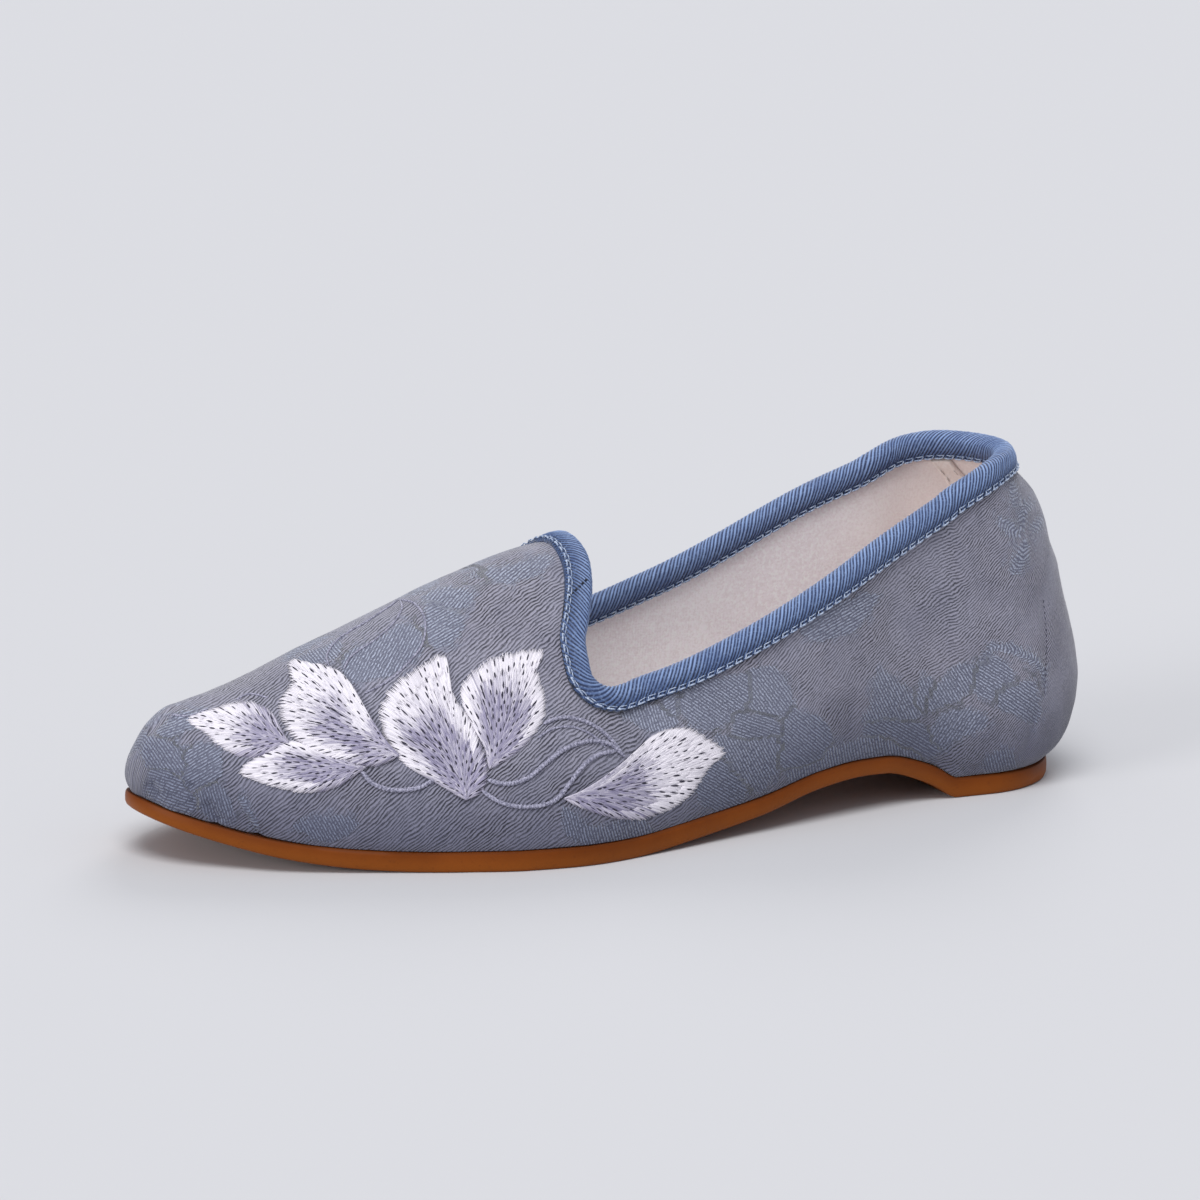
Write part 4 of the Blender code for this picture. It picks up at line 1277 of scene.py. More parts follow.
# Binding: its height over the wall, by share of the way up the leg
BINDING_PUFF = (
    # up, off
    (0.00, 0.42),
    (0.12, 0.72),
    (0.26, 0.66),
    (0.42, 1.00),
    (0.70, 1.16),
    (1.00, 1.06),
)
LEG_ROWS = 8
FOLD_STEPS = 7
RIB_PITCH = 1.12 * MM
RIB_SLANT = 0.84
RIB_HEIGHT = 0.22 * MM
RIB_WANDER = ((0.16, 310.0, 0.0), (0.10, 733.0, 1.0))  # share of a rib, radians a metre, shift
BINDING_STEP = 0.18 * MM
STITCH_PITCH = 2.7 * MM
STITCH_LENGTH = 2.3 * MM
STITCH_WIDTH = 1.05 * MM
STITCH_STRANDS = (
    # along: from and to, shares of STITCH_LENGTH. aside: from and to, shares of STITCH_WIDTH.
    # half: half width in mm.
    (0.00, 1.00, -0.5, -0.5, 0.22),
    (0.00, 1.00, 0.5, 0.5, 0.13),
    (0.05, 0.05, -0.5, 0.5, 0.14),
)
STITCH_ARCH = (0.36, 0.10)  # mm that a strand rises, and that its ends sink in


def binding_rings():
    """Section points of the tape round the loop, throat to heel to throat, and their normals."""
    sections = []
    for side in (1, -1):
        lines = band_lines(side, BINDING_DROP, LEG_ROWS)[::-1]
        points = np.stack([last_point(turn, lift) for turn, lift in lines], 1)
        normals = np.stack([last_normal(turn, lift) for turn, lift in lines], 1)
        share = np.linspace(0.0, 1.0, LEG_ROWS + 1)
        far = (CLEARANCE + BINDING_CLOTH) * curve_through(BINDING_PUFF, 1, share)
        up = points[:, -1] - points[:, -2]
        up /= np.linalg.norm(up, axis=1, keepdims=True)
        out = normals[:, -1]
        outer = points + normals * far[None, :, None]
        inner = points - normals * (WALL + far)[None, :, None]
        middle = points[:, -1] - 0.5 * WALL * out
        fold, fold_out = [], []
        for angle in np.linspace(0.0, math.pi, FOLD_STEPS + 2)[1:-1]:
            fold.append(
                middle + out * math.cos(angle) * (0.5 * WALL + far[-1])
                + up * math.sin(angle) * (CLEARANCE + BINDING_CLOTH)
            )
            fold_out.append(out * math.cos(angle) + up * math.sin(angle))
        near = CLEARANCE
        hidden = [
            points[:, 0] - (WALL + near) * normals[:, 0],
            points[:, -1] - (WALL + near) * out + near * up,
            points[:, -1] + near * out + near * up,
            points[:, 0] + near * normals[:, 0],
        ]
        ring = np.concatenate(
            [outer, np.stack(fold, 1), inner[:, ::-1], np.stack(hidden, 1)], 1
        )
        ring_out = np.concatenate(
            [normals, np.stack(fold_out, 1), -normals[:, ::-1], np.zeros((len(outer), 4, 3))], 1
        )
        order = slice(None, None, -1) if side > 0 else slice(1, -1)
        sections.append((ring[order], ring_out[order]))
    rings = np.concatenate([s[0] for s in sections])
    outs = np.concatenate([s[1] for s in sections])
    # Even steps along the loop
    edge = LEG_ROWS
    closed = np.concatenate([rings, rings[:1]])
    closed_out = np.concatenate([outs, outs[:1]])
    reach = np.concatenate(
        [[0.0], np.cumsum(np.linalg.norm(np.diff(closed[:, edge], axis=0), axis=1))]
    )
    count = int(round(reach[-1] / BINDING_STEP))
    even = np.linspace(0.0, reach[-1], count, endpoint=False)

    steps = np.linalg.norm(np.diff(closed[:, :-4], axis=1), axis=2)
    width = np.concatenate([np.zeros((len(closed), 1)), np.cumsum(steps, axis=1)], axis=1)
    width = np.concatenate([width, np.repeat(width[:, -1:], 4, axis=1)], axis=1)

    def slanted(values):
        """Values at even steps, each row moved along by the slant of the ribs."""
        out = np.empty((count,) + values.shape[1:])
        for row in range(values.shape[1]):
            at = even + RIB_SLANT * np.interp(even, reach, width[:, row])
            for axis in range(3):
                out[:, row, axis] = np.interp(at, reach, values[:, row, axis], period=reach[-1])
        return out

    return slanted(closed), slanted(closed_out), even, reach[-1]


def make_binding(material, thread):
    rings, outs, along_loop, loop_length = binding_rings()
    count, around = rings.shape[:2]
    visible = around - 4
    ribs = round(loop_length / RIB_PITCH)
    phase = along_loop * ribs / loop_length
    for size, pace, shift in RIB_WANDER:
        phase = phase + size * np.sin(along_loop * pace + shift)
    phase = np.repeat(phase[:, None], visible, axis=1)
    rib = (0.5 + 0.5 * np.cos(2.0 * math.pi * phase)) ** 0.8
    uneven = 0.85 + 0.15 * np.sin(np.round(phase) * 2.4)
    share = np.linspace(0.0, 1.0, LEG_ROWS + 1)
    fade = smooth(share / 0.12)
    strength = np.concatenate([fade, np.ones(FOLD_STEPS), fade[::-1]])
    rings[:, :visible] += outs[:, :visible] * (RIB_HEIGHT * rib * uneven * strength)[..., None]
    verts = (rings - CENTRE).reshape(-1, 3)
    i = (np.arange(count) * around)[:, None]
    k = ((np.arange(count) + 1) % count * around)[:, None]
    j = np.arange(around)[None, :]
    m = (j + 1) % around
    faces = np.stack(np.broadcast_arrays(i + j, k + j, k + m, i + m), -1).reshape(-1, 4)
    tape = object_from("binding_tape", verts, faces.tolist(), [material])
    face_outwards(tape)
    shown = np.zeros((count, around))
    shown[:, :visible] = rib * uneven
    give(tape, "rib", shown.ravel())
    leg = np.concatenate([share, np.ones(FOLD_STEPS), share[::-1], np.zeros(4)])
    give(tape, "up", np.tile(leg, count))
    ride(tape, "binding", "collar_binding")
    # Stitches through the tape, outside and inside: a thick strand above, a thin one below and a
    # short one that joins them
    wanted = int(round(loop_length / STITCH_PITCH))
    share = np.linspace(0.0, 1.0, 7)
    for name, first, second in (
        ("binding_stitches_outside", 1, 2), ("binding_stitches_inside", visible - 2, visible - 3)
    ):
        row = rings[:, first] * 0.75 + rings[:, second] * 0.25
        path = np.concatenate([row, row[:1]])
        reach = np.concatenate([[0.0], np.cumsum(np.linalg.norm(np.diff(path, axis=0), axis=1))])
        edge_way = rings[:, second] - rings[:, first]
        edge_way /= np.linalg.norm(edge_way, axis=1, keepdims=True)
        paths, tops, wide = [], [], []
        for stitch in range(wanted):
            begin = reach[-1] * stitch / wanted
            for start, end, left, right, half in STITCH_STRANDS:
                at = begin + (start + (end - start) * share) * STITCH_LENGTH
                aside = left + (right - left) * share
                index = np.searchsorted(reach, at % reach[-1]) % count
                spot = np.stack(
                    [np.interp(at, reach, path[:, k], period=reach[-1]) for k in range(3)], -1
                )
                sink = (np.sin(math.pi * share) ** 0.5 * STITCH_ARCH[0] - STITCH_ARCH[1]) * MM
                paths.append(
                    spot + outs[index, first] * sink[:, None]
                    + edge_way[index] * (aside * STITCH_WIDTH)[:, None]
                )
                tops.append(outs[index, first])
                wide.append(half * MM)
        points, sides = threads(np.array(paths) - CENTRE, tops, wide, 0.15 * MM, ends=0.7)
        ride(object_from(name, points, sides, [thread]), "thread")
    return BVHTree.FromPolygons([Vector(v) for v in verts], faces.tolist())


# Petals of satin stitch, in pixels of the photograph: outlines run from the root, round the tip
# and back to the root. rank: how far forward a petal lies. lilac: how far from the root the
# lilac reaches, and how wide the white band along the outline is, in pixels.
PETALS = (
    # name, rank, lilac, root, tip, outline
    ("toe_left", 0, (56, 9), (290, 744), (188, 718), (
        (281, 730), (274, 715), (262, 706), (246, 701), (222, 706), (188, 718), (204, 733),
        (222, 748), (243, 757), (262, 757), (278, 750))),
    ("toe_low", 1, (92, 11), (366, 768), (239, 771), (
        (338, 759), (314, 751), (290, 741), (268, 751), (239, 771), (258, 782), (282, 789),
        (308, 793), (332, 789), (350, 779))),
    ("toe_high", 2, (94, 16), (399, 757), (288, 662), (
        (372, 767), (343, 763), (315, 755), (295, 741), (282, 722), (279, 702), (290, 684),
        (288, 662), (310, 663), (336, 670), (353, 689), (361, 714), (366, 736), (380, 752))),
    ("ball_right", 0, (90, 15), (489, 770), (543, 651), (
        (484, 746), (468, 718), (461, 694), (469, 674), (490, 659), (516, 652), (543, 651),
        (537, 668), (545, 698), (542, 722), (520, 750))),
    ("ball_left", 1, (100, 17), (466, 801), (444, 655), (
        (438, 784), (410, 768), (389, 748), (380, 722), (383, 700), (396, 683), (418, 667),
        (444, 655), (447, 680), (457, 701), (471, 722), (483, 748), (488, 776), (480, 793))),
    ("side", 0, (94, 4), (563, 799), (725, 752), (
        (586, 790), (614, 776), (634, 755), (650, 738), (668, 729), (688, 728), (708, 738),
        (725, 752), (712, 765), (702, 780), (688, 797), (666, 811), (638, 820), (610, 817),
        (584, 809))),
)
STITCH_HALF = 0.225 * MM          # half the width of a strand of floss
RAYS_PER_PIXEL = 0.62
STITCH_SPAN = (12.0, 21.0)        # pixels
STITCH_OVERLAP = 3.0              # pixels
STITCH_POINTS = 5
LEAF_BEND = 0.36                  # how far the stitches follow the midrib before they turn out
PAD_HEIGHT = 0.62 * MM
RANK_HEIGHT = 0.28 * MM
LILAC_ROOT = (26.0, 70.0)         # pixels from the root over which the white band widens
SLIT_APART = (6.8, 5.0)           # pixels between needle slits, in the white and in the lilac
SLIT_TRIES = 900
SLIT_LONG = (4.0, 7.6)            # pixels
SLIT_HALF = (0.11, 0.24)          # mm, half the width of a needle slit
LILAC_FADE = (14.0, 40.0)         # pixels past the lilac's reach, and over which it fades
BAND_FADE = (7.0, 13.0)           # the same towards the white band
TONE_SPREAD = (0.55, 1.15)        # how the lilac varies from stitch to stitch
STITCH_RAGGED = 1.3               # pixels that the outline's stitches end early or late
STITCH_KEEP = (1.10, 0.9, 0.04)   # share of stitches kept towards the root: factor, power, least
STITCH_JUMP = 5.0                 # pixels by which a stitch's tone may come from its neighbours
PAD_BASE = 0.25 * MM              # how far the padding goes into the cloth
PAD_RINGS = 10
PAD_SHARES = (0.05, 0.975)        # from the root and to the edge
PAD_UNDER = 0.10 * MM             # how far the padding's top lies under the floss
PAD_RIM = -0.20 * MM
SLIT_CLEAR = (9.0, 4.0)           # pixels kept free of slits at the root and at the edge
SLIT_OVER = 0.21 * MM
SLIT_HIGH = 0.10 * MM


class StitchFan:
    """Curved stitch lines of a petal, from its root to its outline, in pixels."""

    def __init__(self, root, tip, outline):
        self.root = np.array(root, float)
        axis = np.array(tip, float) - self.root
        ring = [root] + list(outline) + [root]
        length = np.linalg.norm(np.diff(through(ring, 400), axis=0), axis=1).sum()
        self.ends = through(ring, int(length * RAYS_PER_PIXEL) + 2)[1:-1]
        forward = np.clip((self.ends - self.root) @ axis / (axis @ axis), 0.05, 1.0)
        self.bend = self.root + axis * (LEAF_BEND * forward)[:, None]
        self.span = np.linalg.norm(self.ends - self.root, axis=1)
        fan = np.arange(len(self.ends)) / (len(self.ends) - 1)
        self.dome = 0.30 + 0.70 * np.sqrt(np.clip(np.sin(math.pi * fan), 0.0, 1.0))

    def at(self, k, share):
        """Pixels on line k, with share 0 at the root and 1 on the outline."""
        share = np.asarray(share, float)[..., None]
        return (
            self.root * (1.0 - share) ** 2 + self.bend[k] * 2.0 * share * (1.0 - share)
            + self.ends[k] * share**2
        )

    def tone(self, points, lilac):
        """0 where the floss is white and 1 where it is lilac."""
        reach, band = lilac
        from_root = np.linalg.norm(points - self.root, axis=-1)
        from_edge = from_line(points, self.ends)[0]
        near, far = LILAC_ROOT
        band = band * smooth((from_root - near) / (far - near))
        inner = smooth((reach + LILAC_FADE[0] - from_root) / LILAC_FADE[1])
        return inner * smooth((from_edge - band + BAND_FADE[0]) / BAND_FADE[1])

    def pad(self, k, share):
        """Height of the floss over the cloth."""
        full = np.sqrt(np.clip(1.0 - np.clip(share, 0.0, 1.0) ** 5, 0.0, 1.0))
        return PAD_HEIGHT * full * self.dome[k]


def petal_stitches(fan, lilac, random):
    """Rows of line number, first and last share, tone and variation."""
    rows, middles = [], []
    factor, power, least = STITCH_KEEP
    for k, span in enumerate(fan.span):
        outer = span + random.uniform(-STITCH_RAGGED, STITCH_RAGGED)
        first = True
        while outer > 6.0:
            inner = max(outer - random.uniform(*STITCH_SPAN), 1.0)
            middle = 0.5 * (inner + outer)
            keep = 1.0 if first else min(1.0, factor * (middle / span) ** power + least)
            if random.random() < keep:
                rows.append((k, inner / span, outer / span, random.random() ** 2))
                jump = random.uniform(-STITCH_JUMP, STITCH_JUMP)
                middles.append(fan.at(k, np.clip((middle + jump) / span, 0.0, 1.0)))
            outer = inner + STITCH_OVERLAP
            first = False
            if inner <= 1.0:
                break
    tones = fan.tone(np.array(middles), lilac)
    tones = np.clip(tones * random.uniform(*TONE_SPREAD, len(tones)), 0.0, 1.0)
    return [(k, a, b, tone, vary) for (k, a, b, vary), tone in zip(rows, tones)]


def make_petal(tree, materials, name, rank, lilac, root, tip, outline, random):
    floss, under, slit = materials
    fan = StitchFan(root, tip, outline)
    rows = petal_stitches(fan, lilac, random)
    t = np.linspace(0.0, 1.0, STITCH_POINTS)
    shares = np.array([a + (b - a) * t for _, a, b, _, _ in rows])
    lines = [row[0] for row in rows]
    pixels = np.array([fan.at(k, share) for k, share in zip(lines, shares)])
    points, normals = cast(tree, pixels.reshape(-1, 2))
    points = points.reshape(len(rows), STITCH_POINTS, 3)
    normals = normals.reshape(len(rows), STITCH_POINTS, 3)
    rise = np.array([fan.pad(k, share) for k, share in zip(lines, shares)])
    arch = np.sin(math.pi * t) ** 0.6
    rise = rise + rank * RANK_HEIGHT + (0.20 * arch[None, :] - 0.06) * MM
    at_outline = np.array([row[2] > 0.93 for row in rows])
    rise[at_outline, -1] = rank * 0.06 * MM
    points = points + normals * rise[..., None]
    wide = STITCH_HALF * random.uniform(0.85, 1.22, len(rows))
    sides = 5
    verts, faces = threads(points, normals, wide, 0.62 * wide, sides, 0.42)
    made = object_from("petal_" + name, verts, faces, [floss])
    each = STITCH_POINTS * sides
    give(made, "tone", np.repeat([row[3] for row in rows], each))
    give(made, "vary", np.repeat([row[4] for row in rows], each))
    ride(made, "embroidery")
    make_padding(tree, under, name, rank, fan)
    make_slits(tree, slit, name, rank, fan, lilac, random)


def make_padding(tree, material, name, rank, fan):
    """The padding that the floss covers."""
    count, rings = len(fan.ends), PAD_RINGS
    share = np.linspace(*PAD_SHARES, rings)
    grid = np.array([fan.at(k, share) for k in range(count)])
    base, up = cast(tree, grid.reshape(-1, 2))
    height = np.array([fan.pad(k, share) for k in range(count)])
    height = height + rank * RANK_HEIGHT - PAD_UNDER
    height[:, -1] = PAD_RIM
    top = base + up * height.reshape(-1)[:, None]
    bottom = base - up * PAD_BASE
    grid = (count, rings, 3)
    verts, faces = closed_sheet(top.reshape(grid), bottom.reshape(grid))
    body = object_from("padding_" + name, verts, faces, [material])
    face_outwards(body)
    ride(body, "embroidery")


def make_slits(tree, material, name, rank, fan, lilac, random):
    """Dark slits where the needle went in, between the ends of the stitches: thin dark strands laid
    over the floss as painted shade of the gaps.
    """
    paths, tops, placed = [], [], []
    for _ in range(SLIT_TRIES):
        k = int(random.integers(3, len(fan.ends) - 3))
        share = math.sqrt(random.uniform(0.03, 0.93))
        spot = fan.at(k, share)
        from_root = share * fan.span[k]
        if from_root > fan.span[k] - SLIT_CLEAR[1] or from_root < SLIT_CLEAR[0]:
            continue
        tone = float(fan.tone(spot[None, :], lilac)[0])
        apart = SLIT_APART[0] + (SLIT_APART[1] - SLIT_APART[0]) * tone
        if placed and np.linalg.norm(np.array(placed) - spot, axis=1).min() < apart:
            continue
        placed.append(spot)
        long = random.uniform(*SLIT_LONG) / fan.span[k]
        along_line = share + np.linspace(-0.5, 0.5, 4) * long
        point, up = cast(tree, fan.at(k, along_line))
        height = fan.pad(k, along_line) + rank * RANK_HEIGHT + SLIT_OVER
        paths.append(point + up * height[:, None])
        tops.append(up)
    wide = random.uniform(*SLIT_HALF, len(paths)) * MM
    verts, faces = threads(paths, tops, wide, SLIT_HIGH, ends=0.25)
    ride(object_from("slit_shade_strands_" + name, verts, faces, [material]), "embroidery")


# Cords couched on the cloth, in pixels of the photograph
CORDS = (
    # radius in mm, line
    (0.58, ((361, 771), (372, 783), (392, 790), (418, 788), (436, 778))),
    (0.58, ((487, 780), (507, 784), (528, 778), (546, 763), (567, 748), (591, 741), (611, 745),
            (622, 755))),
    (0.54, ((482, 791), (502, 803), (528, 807), (554, 801), (570, 783), (582, 767), (598, 755),
            (616, 751))),
    (0.50, ((543, 724), (559, 718), (577, 719), (596, 727), (611, 740), (624, 757))),
    (0.30, ((538, 738), (552, 729), (572, 727), (592, 735), (606, 748))),
    (0.26, ((329, 666), (327, 655), (339, 639), (365, 623), (388, 608), (399, 600))),
    (0.26, ((344, 669), (352, 656), (375, 640), (393, 624), (402, 609), (400, 600))),
    (0.28, ((400, 600), (415, 604), (425, 620), (423, 643), (411, 660), (390, 680), (364, 694))),
    (0.24, ((171, 715), (190, 716), (208, 709))),
    (0.24, ((236, 700), (250, 694), (268, 698))),
)
CORD_TWIST = 0.95 * MM
CORD_STEP = 0.20 * MM
CORD_SIDES = 10
CORD_WRAP = (0.76, 0.34)  # shares of the radius: the hollow, and what the wrap adds
CORD_LIFT = 0.45          # how far the middle lies over the cloth, share of the radius


def make_cords(tree, material):
    """Wrapped cords: a tube whose radius rises and falls with each turn of the wrap."""
    all_verts, all_faces = [], []
    for radius, line in CORDS:
        length = np.linalg.norm(np.diff(through(line, 200), axis=0), axis=1).sum() * PIXEL
        count = max(24, int(length / CORD_STEP))
        points, normals = cast(tree, through(line, count))
        for _ in range(4):
            normals[1:-1] = (normals[:-2] + normals[1:-1] + normals[2:]) / 3.0
            points[1:-1] = (points[:-2] + points[1:-1] + points[2:]) / 3.0
        normals /= np.linalg.norm(normals, axis=1, keepdims=True)
        tangent = np.gradient(points, axis=0)
        tangent /= np.linalg.norm(tangent, axis=1, keepdims=True)
        sideways = np.cross(normals, tangent)
        centre = points + normals * (CORD_LIFT * radius * MM)
        reach = np.linspace(0.0, length, count)
        ends = np.minimum(1.0, np.minimum(reach, length - reach) / (1.2 * MM) + 0.35)
        base = len(all_verts)
        sides = CORD_SIDES
        for i in range(count):
            for s in range(sides):
                angle = 2.0 * math.pi * s / sides
                wrap = 0.5 + 0.5 * math.cos(2.0 * math.pi * reach[i] / CORD_TWIST + angle)
                size = radius * MM * (CORD_WRAP[0] + CORD_WRAP[1] * wrap) * ends[i]
                all_verts.append(
                    centre[i] + sideways[i] * size * math.cos(angle)
                    + normals[i] * size * math.sin(angle)
                )
        for i in range(count - 1):
            for s in range(sides):
                a, b = base + i * sides + s, base + i * sides + (s + 1) % sides
                all_faces.append([a, b, b + sides, a + sides])
        all_faces.append([base + s for s in range(sides)][::-1])
        all_faces.append([base + (count - 1) * sides + s for s in range(sides)])
    cords = object_from("couched_cords", all_verts, all_faces, [material])
    face_outwards(cords)
    ride(cords, "embroidery")


# Sole, footbed and tape


def slab(name, levels, columns, materials, smooth_angle):
    """A closed slab from loops round the outline, capped with cross strips."""
    turns = np.linspace(0.0, 1.0, columns + 1)
    loops = [np.concatenate([level(turns), level(-turns[1:-1])[::-1]]) for level in levels]
    count = len(loops[0])
    verts = list(np.concatenate(loops))
    faces = []
    for level in range(len(loops) - 1):
        a, b = level * count, (level + 1) * count
        faces += [[a + i, a + (i + 1) % count, b + (i + 1) % count, b + i] for i in range(count)]
    for base in (0, (len(loops) - 1) * count):
        pairs = [(base + i, base + (count - i) % count) for i in range(columns + 1)]
        for (a, b), (c, d) in zip(pairs, pairs[1:]):
            faces.append(list(dict.fromkeys([a, b, d, c])))
    made = object_from(name, np.array(verts) - CENTRE, faces, materials, smooth_angle)
    face_outwards(made)
    return made


SOLE_EDGE = (
    # inset in mm, share of the thickness: the wall's section, bottom to top
    (2.6, 0.000),
    (0.75, 0.000),
    (0.30, 0.060),
    (0.05, 0.200),
    (0.00, 0.500),
    (0.10, 0.800),
    (0.35, 0.950),
    (0.80, 1.000),
    (3.0, 1.000),
)


def make_sole(material):
    def level(inset, share):
        def loop(turn):
            x, y = outline_point(turn, inset * MM)
            place = x / LENGTH
            low, high = underside(place), sole_top(place)
            wander = 0.10 * MM * np.sin(turn * 41.0) * np.sin(turn * 13.0 + 1.0)
            return np.stack([x, y, low + (high - low) * share + wander * (share == 1.0)], -1)

        return loop

    sole = slab("rubber_sole", [level(*row) for row in SOLE_EDGE], SOLE_COLUMNS, [material], 40.0)
    give(sole, "share", np.repeat([share for _, share in SOLE_EDGE], 2 * SOLE_COLUMNS))
    ride(sole, "sole_rubber", "outsole")


FOOTBED_EDGE = (
    # draft and drop in mm: the footbed's rounded edge, bottom to top
    (0.0, 1.2),
    (0.35, 0.5),
    (1.1, 0.1),
    (3.0, 0.0),
)


def make_footbed(material):
    inset = FEATHER_INSET + WALL + 2.0 * CLEARANCE

    def level(draft, drop, low=False):
        def loop(turn):
            x, y = outline_point(turn, inset + draft * MM)
            x = x - INSOLE_TOE_GAP * smooth((along(turn) - TOE_GAP_FROM) / (1.0 - TOE_GAP_FROM))
            place = x / LENGTH
            z = sole_top(place) + CLEARANCE if low else insole_top(place) - drop * MM
            return np.stack([x, y, z], -1)

        return loop

    levels = [level(0.0, 0.0, True)] + [level(*row) for row in FOOTBED_EDGE]
    bed = slab("footbed", levels, SOLE_COLUMNS, [material], 50.0)
    ride(bed, "footbed", "insole")


TAPE_GRID = (17, 70)           # points across and up the tape
TAPE_STITCHES = (0.16, 0.84)   # where its rows of stitches run, shares of its width
TAPE_PITCH = 0.034             # from stitch to stitch, share of its height
TAPE_STITCH = 0.024            # a stitch's length, share of its height
TAPE_ARCH = (-0.1, 0.08, 0.13, 0.13, 0.08, -0.1)  # mm that a stitch rises along its length


def make_tape(material, thread):
    """Cotton tape inside, over the inner side's seam, with a row of stitches along each edge."""
    back, front = tape_turns()
    quarter = quarter_turns()
    band_turn, band_lift = band_lines(-1, BINDING_DROP + 2.0 * CLEARANCE, BAND_ROWS)[-1]
    band_turn, band_lift = band_turn[:len(quarter)], band_lift[:len(quarter)]

    def on_wall(across, share):
        """Turn and lift, across the tape from its back edge and up from the foot, as shares."""
        foot = back + (front - back) * across
        top = np.interp(foot, quarter, band_turn)
        return -foot + (top + foot) * share, np.interp(foot, quarter, band_lift) * share

    shares = np.linspace(0.0, 1.0, 200)
    height = last_point(*on_wall(np.full(200, 0.5), shares))[:, 2]
    bottom = float(np.interp(insole_top(HEEL_STATION) + 4.0 * CLEARANCE, height, shares))
    widths = np.linspace(0.0, 1.0, TAPE_GRID[0])
    lifts = np.linspace(bottom, 1.0, TAPE_GRID[1])
    grid_turn, grid_lift = on_wall(*np.meshgrid(widths, lifts, indexing="ij"))
    point, out = last_point(grid_turn, grid_lift), last_normal(grid_turn, grid_lift)
    share = np.abs(2.0 * widths - 1.0)[:, None]
    thick = TAPE_CLOTH * (0.75 + 0.35 * np.exp(-(((share - 0.80) / 0.12) ** 2)))
    thick = np.broadcast_to(thick * (1.0 - 0.5 * (share > 0.99)), grid_lift.shape)
    near = point - (WALL + 0.5 * CLEARANCE) * out
    far = point - (WALL + CLEARANCE + thick[..., None]) * out
    verts, faces = closed_sheet(near, far)
    tape = object_from("seam_tape", verts - CENTRE, faces, [material], 50.0)
    face_outwards(tape)
    ride(tape, "heel_tape", "heel_tape")
    paths, tops = [], []
    for across in TAPE_STITCHES:
        for low in np.arange(bottom + 0.01, 0.97, TAPE_PITCH):
            steps = np.linspace(low, low + TAPE_STITCH, len(TAPE_ARCH))
            turn, lift = on_wall(np.full(len(steps), across), steps)
            out = last_normal(turn, lift)
            inwards = WALL + CLEARANCE + TAPE_CLOTH + np.array(TAPE_ARCH) * MM
            paths.append(last_point(turn, lift) - out * inwards[:, None] - CENTRE)
            tops.append(-out)
    verts, faces = threads(paths, tops, 0.14 * MM, 0.12 * MM, ends=0.6)
    ride(object_from("seam_tape_stitches", verts, faces, [thread]), "thread")


# Rows of dark stitches: number, half width in mm, and line in pixels of the photograph
BINDING_JOIN = (6, 0.30, ((569, 597), (588, 578)))
HEEL_SEAM = (17, 0.11, ((1043, 600), (1046, 630), (1046, 660), (1044, 696)))
ROW_STEPS = 8                                # steps along the line for each stitch
ROW_ARCH = (-0.05, 0.10, 0.13, 0.10, -0.05)  # mm that it rises on the steps that it covers


def make_stitch_row(tree, name, row, material):
    """A row of short stitches with gaps between them."""
    number, half, line = row
    pixels = through(line, number * ROW_STEPS)
    paths, tops = [], []
    for k in range(number):
        first = k * ROW_STEPS
        points, normals = cast(tree, pixels[first:first + len(ROW_ARCH)])
        paths.append(points + normals * np.array(ROW_ARCH)[:, None] * MM)
        tops.append(normals)
    verts, faces = threads(paths, tops, half * MM, 0.75 * half * MM, ends=0.6)
    ride(object_from(name, verts, faces, [material]), "thread")


# The floor and the light


FLOOR_RADIUS = 12.0
FLOOR_COLOUR = (208, 208, 211)
SKY = ((0.90, 0.93, 1.0, 1.0), 0.42)  # colour and strength
LAMPS = (
    # name, place it shines from, strength, spread in degrees
    ("key", (0.35, 0.55, 1.60), 1.70, 34.0),
    ("side", (1.00, 0.28, 0.34), 1.20, 24.0),
    ("rim", (-0.60, -0.75, 0.70), 0.85, 30.0),
)


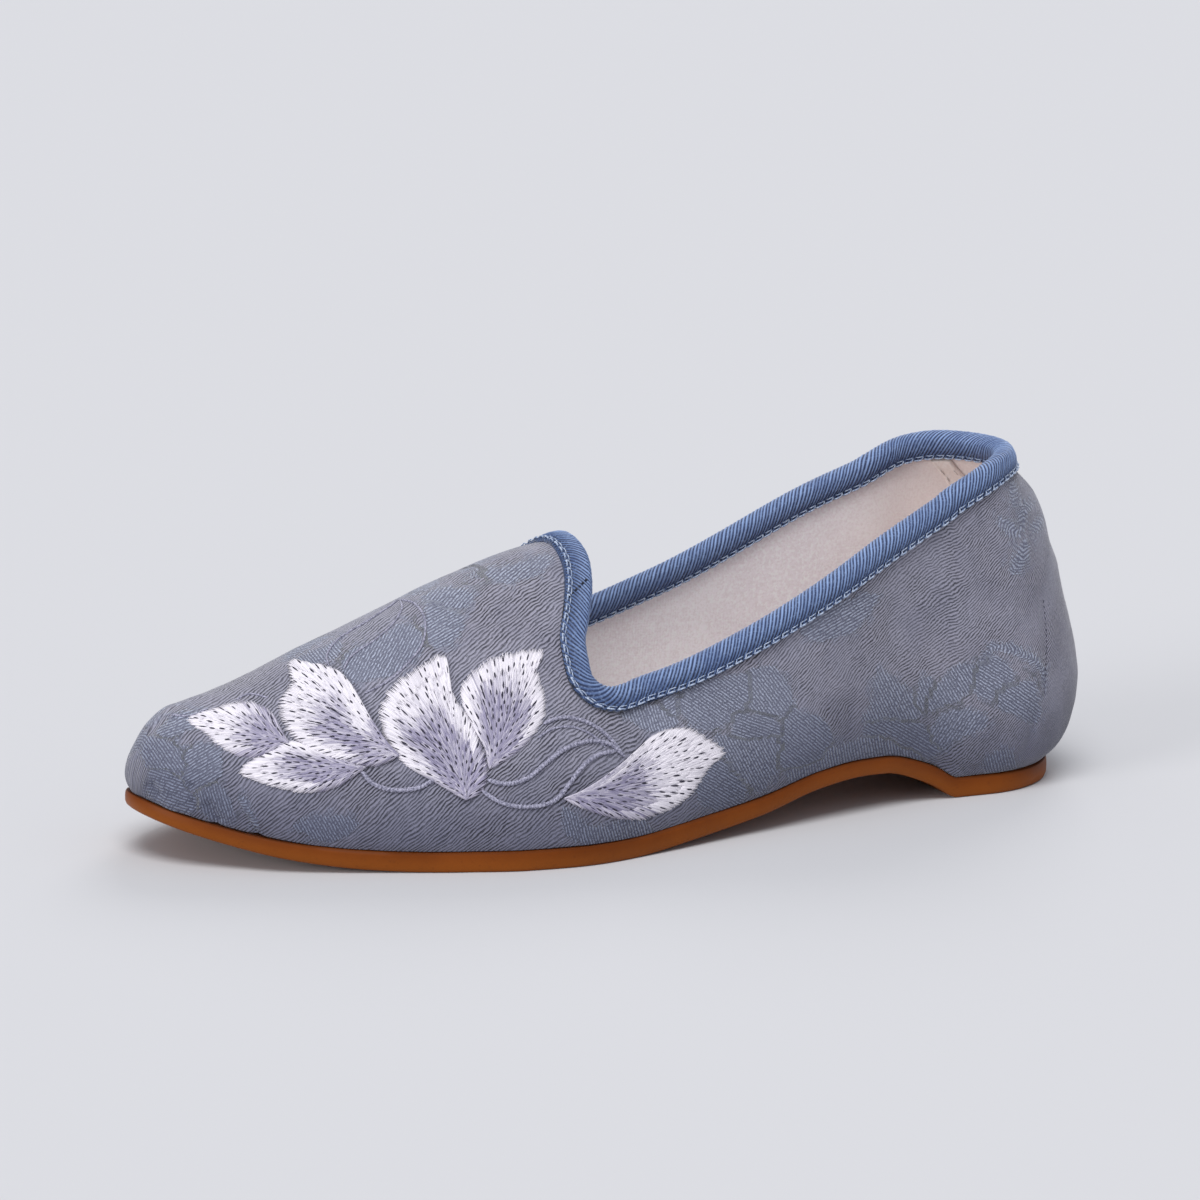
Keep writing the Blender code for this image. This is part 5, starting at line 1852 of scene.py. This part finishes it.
def make_floor():
    material = Shade("floor_pale", 1.0, Base_Color=srgb(*FLOOR_COLOUR), Specular_IOR_Level=0.0)
    bpy.ops.mesh.primitive_circle_add(
        vertices=96, radius=FLOOR_RADIUS, fill_type="NGON", location=(0, 0, 0)
    )
    floor = bpy.context.object
    floor.name = "floor"
    floor.data.materials.append(material.material)


def make_lights():
    """A pale sky, and wide, even lamps aimed at the shoe."""
    world = bpy.data.worlds.new("studio")
    world.use_nodes = True
    sky = world.node_tree.nodes["Background"]
    sky.inputs[0].default_value, sky.inputs[1].default_value = SKY
    bpy.context.scene.world = world
    for name, place, power, spread in LAMPS:
        lamp = bpy.data.lights.new(name, "SUN")
        lamp.energy = power
        lamp.angle = math.radians(spread)
        made = bpy.data.objects.new(name, lamp)
        made.location = place
        aim = Vector((0.0, 0.0, 0.04)) - Vector(place)
        made.rotation_euler = aim.to_track_quat("-Z", "Y").to_euler()
        bpy.context.collection.objects.link(made)


def main():
    bpy.context.scene.view_settings.view_transform = "Standard"
    make_camera()
    make_floor()
    make_lights()
    random = np.random.default_rng(7)
    cloth = cloth_material()
    lining = lining_material("lining_beige", ink("lining"), ink("lining deep"))
    cloth_tree = make_upper(cloth, lining)
    stitch = thread_material("stitch_thread", ink("stitch"), ink("stitch hollow"))
    tape_tree = make_binding(binding_material(), stitch)
    dark_thread = plain_material("dark_thread", ink("dark stitch"), 0.7)
    make_stitch_row(tape_tree, "binding_join_stitches", BINDING_JOIN, dark_thread)
    seam_thread = plain_material("seam_thread", ink("seam stitch"), 0.8)
    make_stitch_row(cloth_tree, "heel_seam_stitches", HEEL_SEAM, seam_thread)
    under = plain_material("padding_grey", ink("padding"), 0.8)
    # Painted shade: dark strands stand for the shaded gaps where the needle went in
    dark = plain_material("painted_slit_shade", ink("needle slit shade"), 0.9)
    floss = floss_material()
    for name, rank, lilac, root, tip, outline in PETALS:
        materials = (floss, under, dark)
        make_petal(cloth_tree, materials, name, rank, lilac, root, tip, outline, random)
    make_cords(cloth_tree, thread_material("cord_grey", ink("cord"), ink("cord hollow")))
    make_sole(rubber_material())
    make_footbed(lining_material("footbed_beige", ink("footbed"), ink("footbed deep")))
    make_tape(
        lining_material("tape_beige", ink("tape"), ink("tape deep")),
        thread_material("tape_thread", ink("tape thread"), ink("tape thread hollow")),
    )


main()
